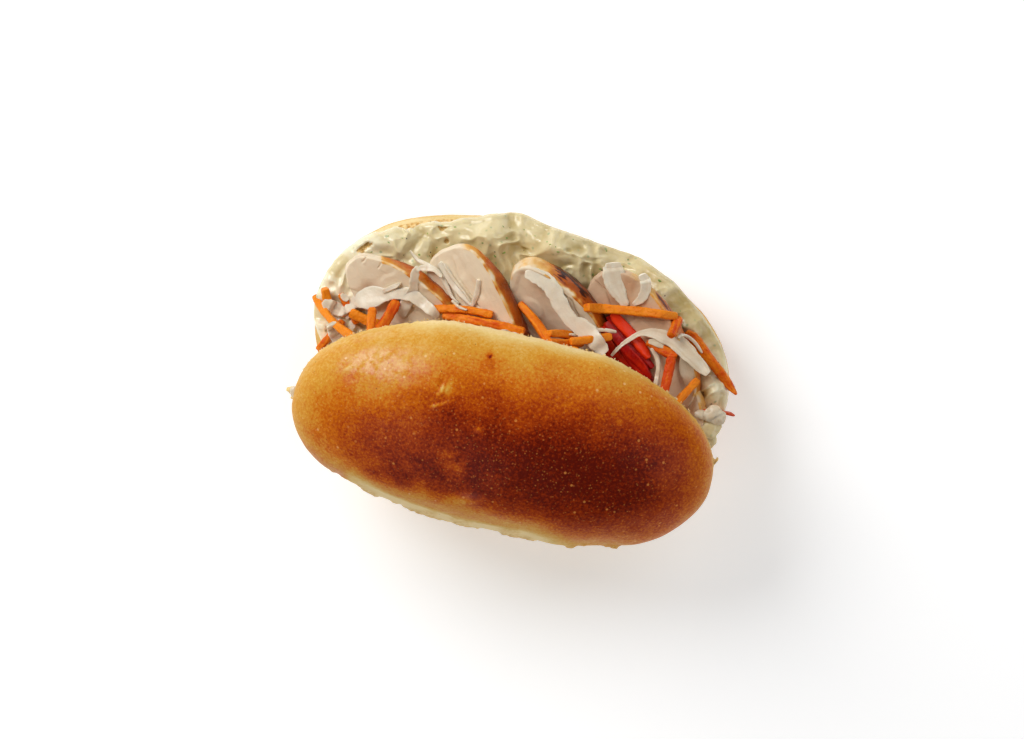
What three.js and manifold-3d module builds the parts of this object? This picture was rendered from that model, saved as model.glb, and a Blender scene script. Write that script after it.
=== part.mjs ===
// A grilled chicken sandwich in a long soft milk roll, standing on its flat foot.
// The roll is one piece: it is cut from the back, and still holds together at the front.
// Its lower half carries herb cream, five overlapping slices of chicken breast, a bundle of
// red pepper strips and a loose slaw of carrot and white cabbage, and its crown leans on them.
//
// Millimetres, +Z up. The origin is on the table, under the middle of the lower half.
// +X runs along the roll and +Y points out of its open side.
import * as THREE from "three";
import { mergeVertices } from "three/addons/utils/BufferGeometryUtils.js";
import Module from "manifold-3d";

const wasm = await Module();
wasm.setup();

// ---------------------------------------------------------------- driving dimensions

const GAP = 0.3; // clearance kept between pieces that touch
const ROUND = 56; // steps in a turn round the roll and the cream
const SUNK = 0.6; // how far strips press into each other and into the bed under them

const lower = {
  halfLength: 74.6,
  back: 45.6, // from the origin to the widest line at the open side
  front: 52, // and at the hinge side
  roundness: 2.2, // superellipse exponent of the outline at the open side
  frontRoundness: 2,
  height: 20, // table to cut face
  widestAt: 11, // height of the widest line
  footInset: 14, // how far the rounded foot draws in down to the table
  cutInset: 2.2, // how far the side draws in up to the cut face
};

const crown = {
  halfLength: 72.4,
  back: 38.6, // from the middle of its cut face to the open side
  front: 34, // and to the hinge side
  roundness: 2.2, // superellipse exponent of the outline
  height: 30, // cut face to the top of the dome
  dome: 2.25, // superellipse exponent of the dome's rise
  bulge: 1.2, // how far the side stands out over the cut edge
  centre: new THREE.Vector3(1.5, -28, 40.9), // middle of its cut face
  tilt: 26, // degrees that its open side is raised
  yaw: 3.8, // degrees that it is turned on the lower half
};

const hinge = {
  sweep: 58, // degrees each way from the front that the bread is left uncut
  lowFrom: 8, // height on the lower half where the uncut bread begins
  highTo: 0.3, // share of the crown's height where it ends
  depth: 14, // how far in from the crust the cut stops
  bulge: 2.4, // how far the folded crust stands out between the halves
  sunk: 0.6, // how far its edges are set into the halves
};

const cream = {
  inset: 1, // its edge, in from the widest line of the lower half
  front: 38, // how far it reaches into the mouth
  frontRoundness: 2,
  thickness: 3.6,
  waves: 1.1, // height of the long waves left by the knife
  ridge: 2.2, // height of the roll of cream along the open side
  // Where the edge hangs over the rim (+) or leaves the crumb bare (-): degrees, width, reach.
  edges: [[103, 9, 3.6], [61, 8, 3.2], [128, 14, -2.8]],
};

const chicken = {
  rounding: 1.6,
  taper: 0.33, // how much the upper end is narrowed
  // Each slice is cut across a grilled breast and lies with its cut face up. `rim` is the upper end
  // of its browned edge, `heading` the way that edge runs on the table and `dive` its fall that way.
  // `lean` is how far the face is rolled up to the rim, and `skew` how far its far side is set back.
  slices: [
    { rim: [-61, 20.5, 38], heading: -22, dive: 3, lean: 29, size: [47, 24, 12], skew: 3 },
    { rim: [-28.5, 33, 43], heading: -50, dive: 3, lean: 30, size: [51, 27, 13], skew: 1 },
    { rim: [-4, 32.5, 45], heading: -34, dive: 15, lean: 31, size: [49, 25, 15.5], skew: 1 },
    { rim: [32.5, 38.5, 40.5], heading: -48, dive: 5, lean: 21, size: [52, 32, 13], skew: 9 },
    { rim: [59.5, 9.5, 35.5], heading: -73, dive: 4, lean: 18, size: [36, 22, 12], skew: 2 },
  ],
};

const bed = {
  halfLength: 67,
  out: 3.5, // how far the middle of its section stands out of the crown's edge
  across: 10.5, // half its width in the middle
  atLeft: 3, // extra width towards the left end
  up: 6, // half its height
  endHeight: 32, // height of its middle line at the ends
  rise: 13.5, // and how much higher it runs at the middle
};

// Strips, in the order they were dropped: from X, Y to X, Y, sideways bow, width.
const pepper = {
  thickness: 3,
  limpness: 0.5,
  strips: [
    [25, 17, 42, -5, 0, 4],
    [27.5, 19.5, 45.5, -3, 0.5, 4],
    [30.5, 21.5, 48.5, 0, 1, 4],
    [26.5, 22.5, 44, 8, -0.6, 3],
  ],
};
const carrot = {
  thickness: 2.9,
  limpness: 0,
  strips: [
    [-74.5, 0, -55, -10, -1.6, 3],
    [-72, 2.6, -64, -4, 0, 3.2],
    [-66, 3.4, -57, -5, 0, 2.8],
    [-67.4, -16, -60, -6, 0, 2.8],
    [-61, -2, -44, -5, 0, 3],
    [-45, 6.6, -49.5, -8, 0.6, 3.4],
    [-34, 6.6, -13, 10.4, 0.8, 2.8],
    [-29.5, 5.4, -1, 7.8, 0.5, 3],
    [-5, 16.6, 9, 4, 0.8, 3],
    [7, 9.4, 18, 11.4, 0, 3],
    [11, 6.5, 29, 11.6, 0, 2.8],
    [50.3, 14, 51, -8, 0, 3.2],
    [38, 17, 52, 13.6, 0.9, 3.2],
    [46.4, 28, 49.8, 12, 0, 3],
    [53, 23.6, 75, 7, -0.8, 3.2],
    [61, 8.6, 53, -7, 0, 3],
    [64, -6, 76.6, 0, 0, 2],
  ],
};
const crossing = {
  thickness: 2.9,
  limpness: 0.8,
  strips: [[17.4, 21.6, 48, 26.8, 0.4, 3.2]],
};
const cabbage = {
  thickness: 1.5,
  limpness: 0.5,
  strips: [
    [-63, -4, -47, 7, 2.5, 5],
    [-52, 6.4, -31, 2, 3.6, 4.2],
    [-42, 19.5, -42.5, 0, 0, 3],
    [-46.3, 24.4, -23, 6, 2.6, 1.6],
    [-37, 24, -19, 8, -1, 2.2],
    [-21.4, 21, -20.4, 6, 0, 2],
    [-6.4, 26, 13, 14, 4, 3.6],
    [10, 17.4, 26, 6, -0.6, 4.6],
    [22, 40, 31, 22, -1.6, 7.5],
    [32.6, 38, 33.2, 20, 1.6, 3.4],
    [29, 4, 52, 20.6, 4.6, 1.6],
    [46, 21.4, 64, 10, 2.4, 4.4],
    [40, 17, 57, 16.6, -0.8, 3.4],
    [42.4, 14.6, 47, -4, 1, 1.6],
    [53.6, 16, 58, 0, 1, 5.4],
    [64, 2, 69, -10, 0.6, 7],
  ],
};

// ---------------------------------------------------------------- helpers

const radians = THREE.MathUtils.degToRad;
const point = (x, y, z) => new THREE.Vector3(x, y, z);

/** A cosine or sine bent so that a circle of them becomes a superellipse. */
const bent = (value, exponent) => Math.sign(value) * Math.abs(value) ** (2 / exponent);

/** A bell curve, 1 at its middle. */
const bell = (value, middle, width) => Math.exp(-(((value - middle) / width) ** 2));

/** Angles that go once round in even steps. */
const turn = (steps) => Array.from({ length: steps }, (_, i) => (i / steps) * Math.PI * 2);

/** A closed skin over rings with the same number of points, with a fan over each end. */
function skin(rings) {
  const count = rings[0].length;
  const points = rings.flat();
  const index = [];
  for (let ring = 0; ring < rings.length - 1; ring++) {
    for (let i = 0; i < count; i++) {
      const a = ring * count + i;
      const b = ring * count + ((i + 1) % count);
      index.push(a, b, b + count, a, b + count, a + count);
    }
  }
  for (const [first, atEnd] of [[0, false], [(rings.length - 1) * count, true]]) {
    const middle = points.length;
    const ring = points.slice(first, first + count);
    points.push(ring.reduce((sum, p) => sum.add(p), point(0, 0, 0)).divideScalar(count));
    for (let i = 0; i < count; i++) {
      const a = first + i;
      const b = first + ((i + 1) % count);
      index.push(middle, ...(atEnd ? [a, b] : [b, a]));
    }
  }
  return new THREE.BufferGeometry().setFromPoints(points).setIndex(index);
}

/** A geometry as a manifold-3d solid. */
function toSolid(geometry) {
  const bare = geometry.clone();
  for (const name of Object.keys(bare.attributes)) {
    if (name !== "position") bare.deleteAttribute(name);
  }
  const merged = mergeVertices(bare, 1e-3);
  return new wasm.Manifold(new wasm.Mesh({
    numProp: 3,
    vertProperties: merged.attributes.position.array,
    triVerts: new Uint32Array(merged.index.array),
  }));
}

/** The largest body of a manifold-3d solid, as a geometry. */
function toGeometry(solid) {
  const bodies = solid.decompose().sort((a, b) => b.volume() - a.volume());
  const mesh = bodies[0].getMesh();
  const flat = new THREE.BufferGeometry()
    .setAttribute("position", new THREE.BufferAttribute(mesh.vertProperties, 3))
    .setIndex(new THREE.BufferAttribute(mesh.triVerts, 1))
    .toNonIndexed();
  flat.computeVertexNormals();
  return flat;
}

/** A solid with each solid of a list taken out of it. */
const without = (solid, others) => others.reduce((left, other) => left.subtract(other), solid);

/** Solids joined into one. */
const joined = (solids) => solids.reduce((all, one) => all.add(one));

// ---------------------------------------------------------------- roll

/** A place round the lower half at a height, with its side moved out by a distance. */
function lowerPoint(angle, z, out) {
  const low = Math.max(0, (lower.widestAt - z) / lower.widestAt);
  const high = Math.max(0, (z - lower.widestAt) / (lower.height - lower.widestAt));
  const inset = lower.footInset * (1 - Math.sqrt(1 - low ** 2)) + lower.cutInset * high ** 2 - out;
  const open = Math.sin(angle) > 0;
  const exponent = open ? lower.roundness : lower.frontRoundness;
  return point(
    (lower.halfLength - inset) * bent(Math.cos(angle), exponent),
    ((open ? lower.back : lower.front) - inset) * bent(Math.sin(angle), exponent),
    z,
  );
}

/** The lower half of the roll, grown by a clearance. */
function lowerHalf(grow) {
  const rings = [0, 0.7, 2.6, 6, 11, 16, lower.height].map((z) => turn(ROUND).map((angle) => {
    const place = lowerPoint(angle, z, grow);
    if (z === lower.height) place.z += grow;
    return place;
  }));
  return toSolid(skin(rings));
}

/** The crown's own frame: +Z comes out of its crust and +Y out of its open side. */
const crownFrame = new THREE.Matrix4()
  .makeTranslation(crown.centre)
  .multiply(new THREE.Matrix4().makeRotationZ(radians(crown.yaw)))
  .multiply(new THREE.Matrix4().makeRotationX(radians(crown.tilt)));

/** A place round the crown at a share of its height, with its side moved out by a distance. */
function crownPoint(angle, share, out) {
  const scale = (1 - share ** crown.dome) ** (1 / crown.dome);
  const swell = crown.bulge * Math.sin(Math.PI * Math.min(1, share / 0.6)) + out;
  const width = Math.sin(angle) > 0 ? crown.back : crown.front;
  return point(
    (crown.halfLength * scale + swell) * bent(Math.cos(angle), crown.roundness),
    (width * scale + swell) * bent(Math.sin(angle), crown.roundness),
    share === 0 ? -out : share * (crown.height + out),
  ).applyMatrix4(crownFrame);
}

/** The crown, grown by a clearance. */
function crownHalf(grow) {
  const shares = [0, 0.1, 0.26, 0.45, 0.64, 0.8, 0.92, 0.985];
  return toSolid(skin(shares.map((share) => turn(ROUND).map((angle) => crownPoint(angle, share, grow)))));
}

/** Height of the crown's cut face over a place on the table. */
const crownFace = (y) => crown.centre.z + (y - crown.centre.y) * Math.tan(radians(crown.tilt));

/** Where the crown's edge at the open side passes a place along the roll. */
function crownEdge(x) {
  const along = Math.min(1, Math.abs(x - crown.centre.x) / crown.halfLength);
  const reach = crown.back * (1 - along ** crown.roundness) ** (1 / crown.roundness);
  return crown.centre.y + reach * Math.cos(radians(crown.tilt))
    + (x - crown.centre.x) * Math.sin(radians(crown.yaw));
}

/** The uncut bread at the front, which folds from the lower half up into the crown. */
function hingeBread(grow) {
  const rings = [];
  const [steps, rise] = [12, 5];
  for (let i = 0; i <= steps; i++) {
    const sweep = (i / steps) * 2 - 1;
    const angle = radians(-90 + sweep * hinge.sweep);
    const outward = point(Math.cos(angle) * 0.6, Math.sin(angle), 0).normalize();
    const taper = 1 - Math.abs(sweep) ** 6;
    const inset = hinge.sunk + (1 - taper) * 6;
    const bottom = lowerPoint(angle, hinge.lowFrom, 0).addScaledVector(outward, -inset);
    const top = crownPoint(angle, hinge.highTo, 0).addScaledVector(outward, -inset);
    const depth = hinge.depth * (0.45 + 0.55 * taper) + grow;
    const outer = Array.from({ length: rise + 1 }, (_, k) => bottom.clone().lerp(top, k / rise)
      .addScaledVector(outward, grow + hinge.bulge * taper * Math.sin((Math.PI * k) / rise)));
    const inner = outer.map((place) => place.clone().addScaledVector(outward, -depth));
    rings.push([...inner, ...outer.reverse()]);
  }
  return toSolid(skin(rings));
}

/** The whole roll, grown by a clearance. */
const roll = (grow) => joined([lowerHalf(grow), crownHalf(grow), hingeBread(grow)]);

// ---------------------------------------------------------------- chicken

/** One slice, its cut face up and its browned edge along +X, put in its place. */
function chickenSlice({ rim, heading, dive, lean, size, skew }, grow) {
  const [length, width, thickness] = size;
  const outline = turn(26).map((angle) => {
    const along = (length / 2) * (1 - bent(Math.cos(angle), 2.4));
    const over = 0.5 * (1 - bent(Math.sin(angle), Math.sin(angle) > 0 ? 3.4 : 2.2));
    const narrowed = width * (1 - chicken.taper * (1 - along / length) ** 2);
    return new THREE.Vector2(along - skew * over, -narrowed * over);
  });
  const geometry = new THREE.ExtrudeGeometry(new THREE.Shape(outline), {
    depth: thickness - 2 * chicken.rounding,
    bevelThickness: chicken.rounding + grow,
    bevelSize: chicken.rounding / 2 + grow,
    bevelOffset: -chicken.rounding / 2,
    bevelSegments: 2,
    steps: 1,
  });
  geometry.translate(0, 0, chicken.rounding - thickness);
  geometry.applyMatrix4(new THREE.Matrix4()
    .makeTranslation(...rim)
    .multiply(new THREE.Matrix4().makeRotationZ(radians(heading)))
    .multiply(new THREE.Matrix4().makeRotationY(radians(dive)))
    .multiply(new THREE.Matrix4().makeRotationX(radians(lean))));
  return toSolid(geometry);
}

// ---------------------------------------------------------------- cream

/** Thickness of the cream over a place on the cut face. */
function creamThickness(x, y) {
  const waves = Math.sin(x / 7.5 + Math.sin(y / 6)) * Math.sin(y / 6.5 + x / 19)
    + 0.6 * Math.sin(x / 4.3 - y / 5.1);
  const ridge = bell(y, 38 * Math.sqrt(Math.max(0, 1 - (x / lower.halfLength) ** 2)), 5);
  return cream.thickness + cream.waves * waves + cream.ridge * ridge * (1 + 0.4 * Math.sin(x / 6));
}

/** The layer of cream on the lower half. */
function creamLayer() {
  const floor = lower.height + GAP;
  const ring = (share, heightOf) => turn(ROUND).map((angle) => {
    const turned = THREE.MathUtils.radToDeg(angle);
    const reach = cream.edges.reduce((sum, [at, width, by]) => sum + by * bell(turned, at, width), 0)
      + 0.4 * Math.sin(7 * angle) + 0.4 * Math.sin(17 * angle + 1) - cream.inset;
    const open = Math.sin(angle) > 0;
    const exponent = open ? lower.roundness : cream.frontRoundness;
    const x = share * (lower.halfLength - cream.inset) * bent(Math.cos(angle), exponent);
    const y = share * (open ? lower.back + reach : cream.front) * bent(Math.sin(angle), exponent);
    return point(x, y, floor + heightOf(x, y));
  });
  const edge = [ring(0.985, () => 0), ring(1, (x, y) => 0.4 * creamThickness(x, y))];
  const top = [0.965, 0.89, 0.8, 0.65, 0.35].map((share) => ring(share, creamThickness));
  return toSolid(skin([...edge, ...top]));
}

// ---------------------------------------------------------------- strips and slaw

/** A strip along a curve: its width lies level and its thickness stands up. */
function stripGeometry(points, width, thickness) {
  const curve = new THREE.CatmullRomCurve3(points);
  const steps = points.length - 1;
  const rings = [];
  for (let i = 0; i <= steps; i++) {
    const along = curve.getTangent(i / steps);
    const side = along.clone().cross(point(0, 0, 1)).normalize();
    const up = side.clone().cross(along);
    rings.push([[1, 1], [1, -1], [-1, -1], [-1, 1]].map(([across, rise]) => curve.getPoint(i / steps)
      .addScaledVector(side, 0.5 * width * across)
      .addScaledVector(up, 0.5 * thickness * rise)));
  }
  return skin(rings);
}

/** Height at which a strip lies over a place on the table: clear of the food, or sunk in strips. */
function supportOver(x, y, food, strips) {
  const ray = new THREE.Raycaster(point(x, y, 200), point(0, 0, -1));
  const [onFood, onStrips] = [food, strips].map((meshes) => {
    const hits = ray.intersectObjects(meshes);
    return hits.length ? hits[0].point.z : lower.height;
  });
  return Math.max(onFood + GAP, onStrips - SUNK);
}

/** Where a strip comes to rest: the highest straight bridge over its supports, let down by limpness. */
function restingPoints([x0, y0, x1, y1, bow], thickness, limpness, food, strips) {
  const samples = 6;
  const half = samples / 2;
  const across = new THREE.Vector2(y0 - y1, x1 - x0).normalize();
  const places = Array.from({ length: samples + 1 }, (_, i) => {
    const share = i / samples;
    const sideways = bow * Math.sin(Math.PI * share);
    return [
      THREE.MathUtils.lerp(x0, x1, share) + across.x * sideways,
      THREE.MathUtils.lerp(y0, y1, share) + across.y * sideways,
    ];
  });
  const support = places.map(([x, y]) => supportOver(x, y, food, strips) + thickness / 2);
  let bridge = { height: -Infinity, slope: 0 };
  for (let i = 0; i <= half; i++) {
    for (let j = Math.max(half, i + 1); j <= samples; j++) {
      const slope = (support[j] - support[i]) / (j - i);
      const height = support[i] + slope * (half - i);
      if (height > bridge.height) bridge = { height, slope };
    }
  }
  return places.map(([x, y], i) => {
    const z = THREE.MathUtils.lerp(bridge.height + bridge.slope * (i - half), support[i], limpness);
    return point(x, y, Math.min(z, crownFace(y) - thickness));
  }).filter((_, i) => i % (bow ? 2 : half) === 0);
}

/** Drops a family of strips on food and earlier strips; gives their solid grown by a clearance. */
function dropped({ strips, thickness, limpness }, food, earlier) {
  const shapes = strips.map((strip) => {
    const points = restingPoints(strip, thickness, limpness, food, earlier);
    const shape = (grow) => stripGeometry(points, strip[5] + 2 * grow, thickness + 2 * grow);
    earlier.push(new THREE.Mesh(shape(0)));
    return shape;
  });
  return (grow) => joined(shapes.map((shape) => toSolid(shape(grow))));
}

/** The bed of small shreds along the crown's edge, at a share of its full section. */
function slawBed(share) {
  const steps = 18;
  const rings = [];
  for (let i = 0; i <= steps; i++) {
    const along = (i / steps) * 2 - 1;
    const x = along * bed.halfLength;
    const fade = share * Math.sqrt(1 - Math.abs(along) ** 3 * 0.96);
    const uneven = 1 + 0.12 * Math.sin(x / 2.3) + 0.1 * Math.sin(x / 4.1 + 1);
    const across = (bed.across + bed.atLeft * Math.max(0, -along)) * fade * uneven;
    const up = bed.up * fade * uneven;
    const z = bed.endHeight + bed.rise * (1 - Math.abs(along) ** 2.4);
    rings.push(turn(8).map((a) => point(
      x,
      crownEdge(x) + bed.out - bed.across + across * Math.cos(a),
      z + up * Math.sin(a),
    )));
  }
  return skin(rings);
}

// ---------------------------------------------------------------- assembly

/** A matt or glossy food surface of a colour. */
const finish = (color, roughness) => new THREE.MeshStandardMaterial({ color, roughness, metalness: 0 });
const finishes = {
  crust: finish(0xa85a1c, 0.45),
  cream: finish(0xe6dcb4, 0.35),
  chicken: finish(0xdcc0a8, 0.5),
  slaw: finish(0xe8843a, 0.5),
  pepper: finish(0xb81c08, 0.3),
};

const sandwich = new THREE.Group();

/** Adds the largest body of a solid to the sandwich as a named mesh. */
function add(name, solid, material) {
  const mesh = new THREE.Mesh(toGeometry(solid), material);
  mesh.name = name;
  sandwich.add(mesh);
  return mesh;
}

add("roll", roll(0), finishes.crust);
const taken = [roll(GAP)];
const food = [];

chicken.slices.forEach((slice, i) => {
  const solid = without(chickenSlice(slice, 0), taken);
  food.push(add(`chicken_slice_${i + 1}`, solid, finishes.chicken));
  taken.push(chickenSlice(slice, GAP));
});

const layer = without(creamLayer(), taken);
food.push(add("herb_cream", layer, finishes.cream));
taken.push(joined([layer, layer.translate([0, 0, GAP])]));

const bundle = dropped(pepper, food, []);
food.push(add("red_pepper_strips", without(bundle(0), taken), finishes.pepper));
taken.push(bundle(GAP));

const strips = [new THREE.Mesh(slawBed(0.7))];
const loose = [carrot, cabbage, crossing].map((family) => dropped(family, food, strips)(0));
add("carrot_cabbage_slaw", without(joined([toSolid(slawBed(1)), ...loose]), taken), finishes.slaw);

export default sandwich;
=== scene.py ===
"""Looks of a grilled chicken sandwich: a soft milk roll, herb cream, chicken, peppers and slaw.

Shapes are worked out with numpy in millimetres, in the frame's axes: +X along the roll, +Y out of
its open side, +Z up from the table. They become metres when a mesh is made.
"""

import logging
import math
from collections.abc import Sequence
from dataclasses import dataclass, field
from enum import Enum
from itertools import product

import bpy
import numpy as np
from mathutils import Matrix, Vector
from mathutils.bvhtree import BVHTree


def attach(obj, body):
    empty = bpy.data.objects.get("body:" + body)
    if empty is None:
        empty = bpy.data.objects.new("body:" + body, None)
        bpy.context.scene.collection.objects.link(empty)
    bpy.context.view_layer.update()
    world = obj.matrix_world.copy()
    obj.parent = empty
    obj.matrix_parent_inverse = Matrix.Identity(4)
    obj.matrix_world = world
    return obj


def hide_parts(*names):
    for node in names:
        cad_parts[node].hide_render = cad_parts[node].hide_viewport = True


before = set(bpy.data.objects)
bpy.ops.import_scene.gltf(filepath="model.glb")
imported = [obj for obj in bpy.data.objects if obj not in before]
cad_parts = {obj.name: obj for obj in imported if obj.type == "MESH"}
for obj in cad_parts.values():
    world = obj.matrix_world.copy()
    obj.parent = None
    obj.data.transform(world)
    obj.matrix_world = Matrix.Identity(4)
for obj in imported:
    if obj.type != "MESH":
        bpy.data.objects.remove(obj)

log = logging.getLogger("sandwich")

Array = np.ndarray
Mesh = bpy.types.Mesh
Piece = bpy.types.Object
Finish = bpy.types.Material
Socket = bpy.types.NodeSocket
Color = tuple[float, float, float, float]
Point = tuple[float, float, float]
Rows = tuple[tuple[float, ...], ...]
Spots = tuple[Array, Array]
Numbers = Array | Sequence[float]
Values = dict[str | int, object] | None
MILLIMETRE = 0.001
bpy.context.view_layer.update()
HASH_PRIMES = (73856093, 19349663, 83492791, 40503)
HASH_STIRS = ((13, 1274126177), (15, 2246822519))
LOW_BITS = 0xFFFFFFFF
SMOOTH_STEP = {"interpolation_type": "SMOOTHSTEP"}


class Slot(Enum):
    """The record's material slots."""

    CRUST = "crust"
    CREAM = "cream"
    CHICKEN = "chicken"
    PEPPER = "pepper"
    SLAW = "slaw"


# ---- numbers


def bent(value: Array, exponent: float | Array) -> Array:
    """A cosine or sine bent so that a circle becomes a superellipse: sign times power 2/exponent."""
    return np.sign(value) * np.abs(value) ** (2 / exponent)


def bell(value: Array, middle: float, width: float) -> Array:
    """A bell curve, 1 at its middle: e to the minus squared distance in widths."""
    return np.exp(-(((value - middle) / width) ** 2))


def ease(value: Array, low: float, high: float) -> Array:
    """0 below low, 1 above high and a smooth S between: 3t^2 - 2t^3."""
    share = np.clip((value - low) / (high - low), 0, 1)
    return share * share * (3 - 2 * share)


def lattice_noise(points: Array, size: float, seed: int) -> Array:
    """Gradient noise, about -1 to 1.

    Each corner of a cubic lattice has a hashed slope; the eight slopes round a point are read at
    the point and blended by a fifth-power ease.

    Args:
        points: places, in an array whose last axis is X, Y, Z.
        size: width of a lattice cell.
        seed: picks the pattern.

    Returns:
        One value for each place.
    """
    spot = points / size + seed * 17.31
    cell = np.floor(spot).astype(np.int64)
    inside = spot - cell
    blend = inside**3 * (inside * (inside * 6 - 15) + 10)
    total = np.zeros(points.shape[:-1])
    for corner in product((0, 1), repeat=3):
        x, y, z = np.moveaxis(cell + corner, -1, 0)
        mixed = x * HASH_PRIMES[0] ^ y * HASH_PRIMES[1] ^ z * HASH_PRIMES[2] ^ seed * HASH_PRIMES[3]
        for shift, stir in HASH_STIRS:
            mixed = (mixed ^ (mixed >> shift)) * stir & LOW_BITS
        slope = np.stack([(mixed >> shift & 1023) / 511.5 - 1 for shift in (0, 10, 20)], axis=-1)
        weight = np.prod(np.where(corner, blend, 1 - blend), axis=-1)
        total += weight * np.sum(slope * (inside - corner), axis=-1)
    spread = 1.3
    return total * spread


def fractal(points: Array, size: float, octaves: int, seed: int) -> Array:
    """Noise added at ever finer sizes: each octave has half the size and half the height."""
    return sum(lattice_noise(points, size / 2**k, seed + k) / 2**k for k in range(octaves))


def round_ways(count: int) -> Array:
    """Ways round a circle in radians, evenly spaced, starting at 0."""
    return np.linspace(0, 2 * np.pi, count, endpoint=False)


def joined(*axes: Array | float) -> Array:
    """Places told by their X, Y and Z, spread over one shape."""
    return np.stack(np.broadcast_arrays(*axes), axis=-1)


def level(spots: Spots) -> Array:
    """Places at height 0 over spots, told by X and Y, for noise to be read at."""
    return joined(*spots, 0.0)


def near(spots: Spots, middle: Numbers, radius: Array | float) -> Array:
    """A round hill, 1 at its middle: e to the minus squared distance in radii."""
    return np.exp(-(((spots[0] - middle[0]) ** 2 + (spots[1] - middle[1]) ** 2) / radius**2))


def unit(vectors: Array) -> Array:
    """Vectors scaled to length 1."""
    return vectors / np.maximum(np.linalg.norm(vectors, axis=-1, keepdims=True), 1e-9)


@dataclass(frozen=True)
class Placement:
    """A turned and moved frame: turns about Z, then Y, then X, in degrees, and then a move."""

    origin: Point
    heading: float = 0.0
    dive: float = 0.0
    lean: float = 0.0

    @property
    def axes(self) -> Array:
        """The frame's axes.

        Returns:
            A matrix that has them as its columns: Rz times Ry times Rx.
        """
        (cz, cy, cx), (sz, sy, sx) = [
            [turn(math.radians(a)) for a in (self.heading, self.dive, self.lean)]
            for turn in (math.cos, math.sin)
        ]
        about_z = np.array([[cz, -sz, 0], [sz, cz, 0], [0, 0, 1]])
        about_y = np.array([[cy, 0, sy], [0, 1, 0], [-sy, 0, cy]])
        about_x = np.array([[1, 0, 0], [0, cx, -sx], [0, sx, cx]])
        return about_z @ about_y @ about_x

    def out(self, points: Array) -> Array:
        """Places of the frame, told on the table."""
        return points @ self.axes.T + self.origin

    def into(self, points: Array) -> Array:
        """Places on the table, told in the frame."""
        return (points - self.origin) @ self.axes


# ---- meshes


def band_faces(rows: int, cols: int) -> tuple[Array, Array, Array]:
    """Numbers of the points of closed rings, and the four-sided faces between them.

    Args:
        rows: how many rings.
        cols: points on each.

    Returns:
        The points' numbers, the number of the point after each one, and the faces.
    """
    ids = np.arange(rows * cols).reshape(rows, cols)
    after = np.roll(ids, -1, axis=1)
    quads = np.stack([ids[:-1], after[:-1], after[1:], ids[1:]], axis=-1).reshape(-1, 4)
    return ids, after, quads


@dataclass
class Skin:
    """Grids gathered into one piece, with values marked on their points."""

    points: list[Array] = field(default_factory=list)
    corners: list[Array] = field(default_factory=list)
    sides: list[Array] = field(default_factory=list)
    marks: dict[str, list[Array]] = field(default_factory=dict)
    count: int = 0

    def add_tube(self, rings: Array, **marks: Array | float) -> None:
        """Adds a closed skin over rings, with a fan over each end.

        Args:
            rings: places, shaped rings x points x 3; each ring is closed.
            marks: values told on every point, shaped rings x points, or one number for all.
        """
        rows, cols = rings.shape[:2]
        ids, after, quads = band_faces(rows, cols)
        poles = rings[[0, -1]].mean(axis=1)
        first = np.stack([np.full(cols, rows * cols), after[0], ids[0]], axis=-1)
        last = np.stack([np.full(cols, rows * cols + 1), ids[-1], after[-1]], axis=-1)
        fans = np.concatenate([first, last])
        places = np.concatenate([rings.reshape(-1, 3), poles])
        split = np.concatenate([quads[:, [0, 1, 2]], quads[:, [0, 2, 3]], fans])
        a, b, c = (places[split[:, k]] for k in range(3))
        if np.sum(a * np.cross(b, c)) < 0:
            quads, fans = quads[:, ::-1], fans[:, ::-1]
        self.points.append(places)
        for faces in (quads, fans):
            self.corners.append((faces + self.count).ravel())
            self.sides.append(np.full(len(faces), faces.shape[1]))
        for name, value in marks.items():
            spread = np.broadcast_to(np.asarray(value, float), rings.shape[:2])
            ends = spread[[0, -1]].mean(axis=1)
            self.marks.setdefault(name, []).append(np.concatenate([spread.ravel(), ends]))
        self.count += len(places)

    def mesh(self, name: str) -> Mesh:
        """Makes a mesh of the gathered grids.

        Args:
            name: the mesh's name.

        Returns:
            The mesh, in metres, with each mark as a value of its points.
        """
        mesh = bpy.data.meshes.new(name)
        corners = np.concatenate(self.corners)
        sides = np.concatenate(self.sides)
        mesh.vertices.add(self.count)
        mesh.loops.add(len(corners))
        mesh.polygons.add(len(sides))
        mesh.loops.foreach_set("vertex_index", corners.astype(np.int32))
        starts = np.concatenate([[0], np.cumsum(sides)[:-1]])
        mesh.polygons.foreach_set("loop_start", starts.astype(np.int32))
        write_points(mesh, np.concatenate(self.points))
        mesh.update(calc_edges=True)
        mesh.validate()
        for mark, values in self.marks.items():
            mark_points(mesh, mark, np.concatenate(values))
        mesh.shade_smooth()
        return mesh


def mark_points(mesh: Mesh, name: str, values: Array) -> None:
    """Puts a value on each point of a mesh, for its finish to read."""
    layer = mesh.attributes.new(name, "FLOAT", "POINT")
    layer.data.foreach_set("value", np.asarray(values, np.float32))


def placed(name: str, data: bpy.types.ID) -> Piece:
    """Puts data into the scene as a new object.

    Args:
        name: the object's name.
        data: its mesh, lamp or camera.

    Returns:
        The object.
    """
    thing = bpy.data.objects.new(name, data)
    bpy.context.scene.collection.objects.link(thing)
    return thing


def add_piece(mesh: Mesh, finish: Finish, replaced: Sequence[str] = ()) -> Piece:
    """Puts a finished mesh into the scene as a piece that rides on the sandwich.

    Args:
        mesh: its mesh, whose name it takes.
        finish: its material.
        replaced: CAD nodes that it stands for.

    Returns:
        The new object, at the origin.
    """
    mesh.materials.clear()
    mesh.materials.append(finish)
    piece = placed(mesh.name, mesh)
    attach(piece, "root")
    if replaced:
        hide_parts(*replaced)
    log.info("%s: %d faces", mesh.name, len(mesh.polygons))
    return piece


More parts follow.
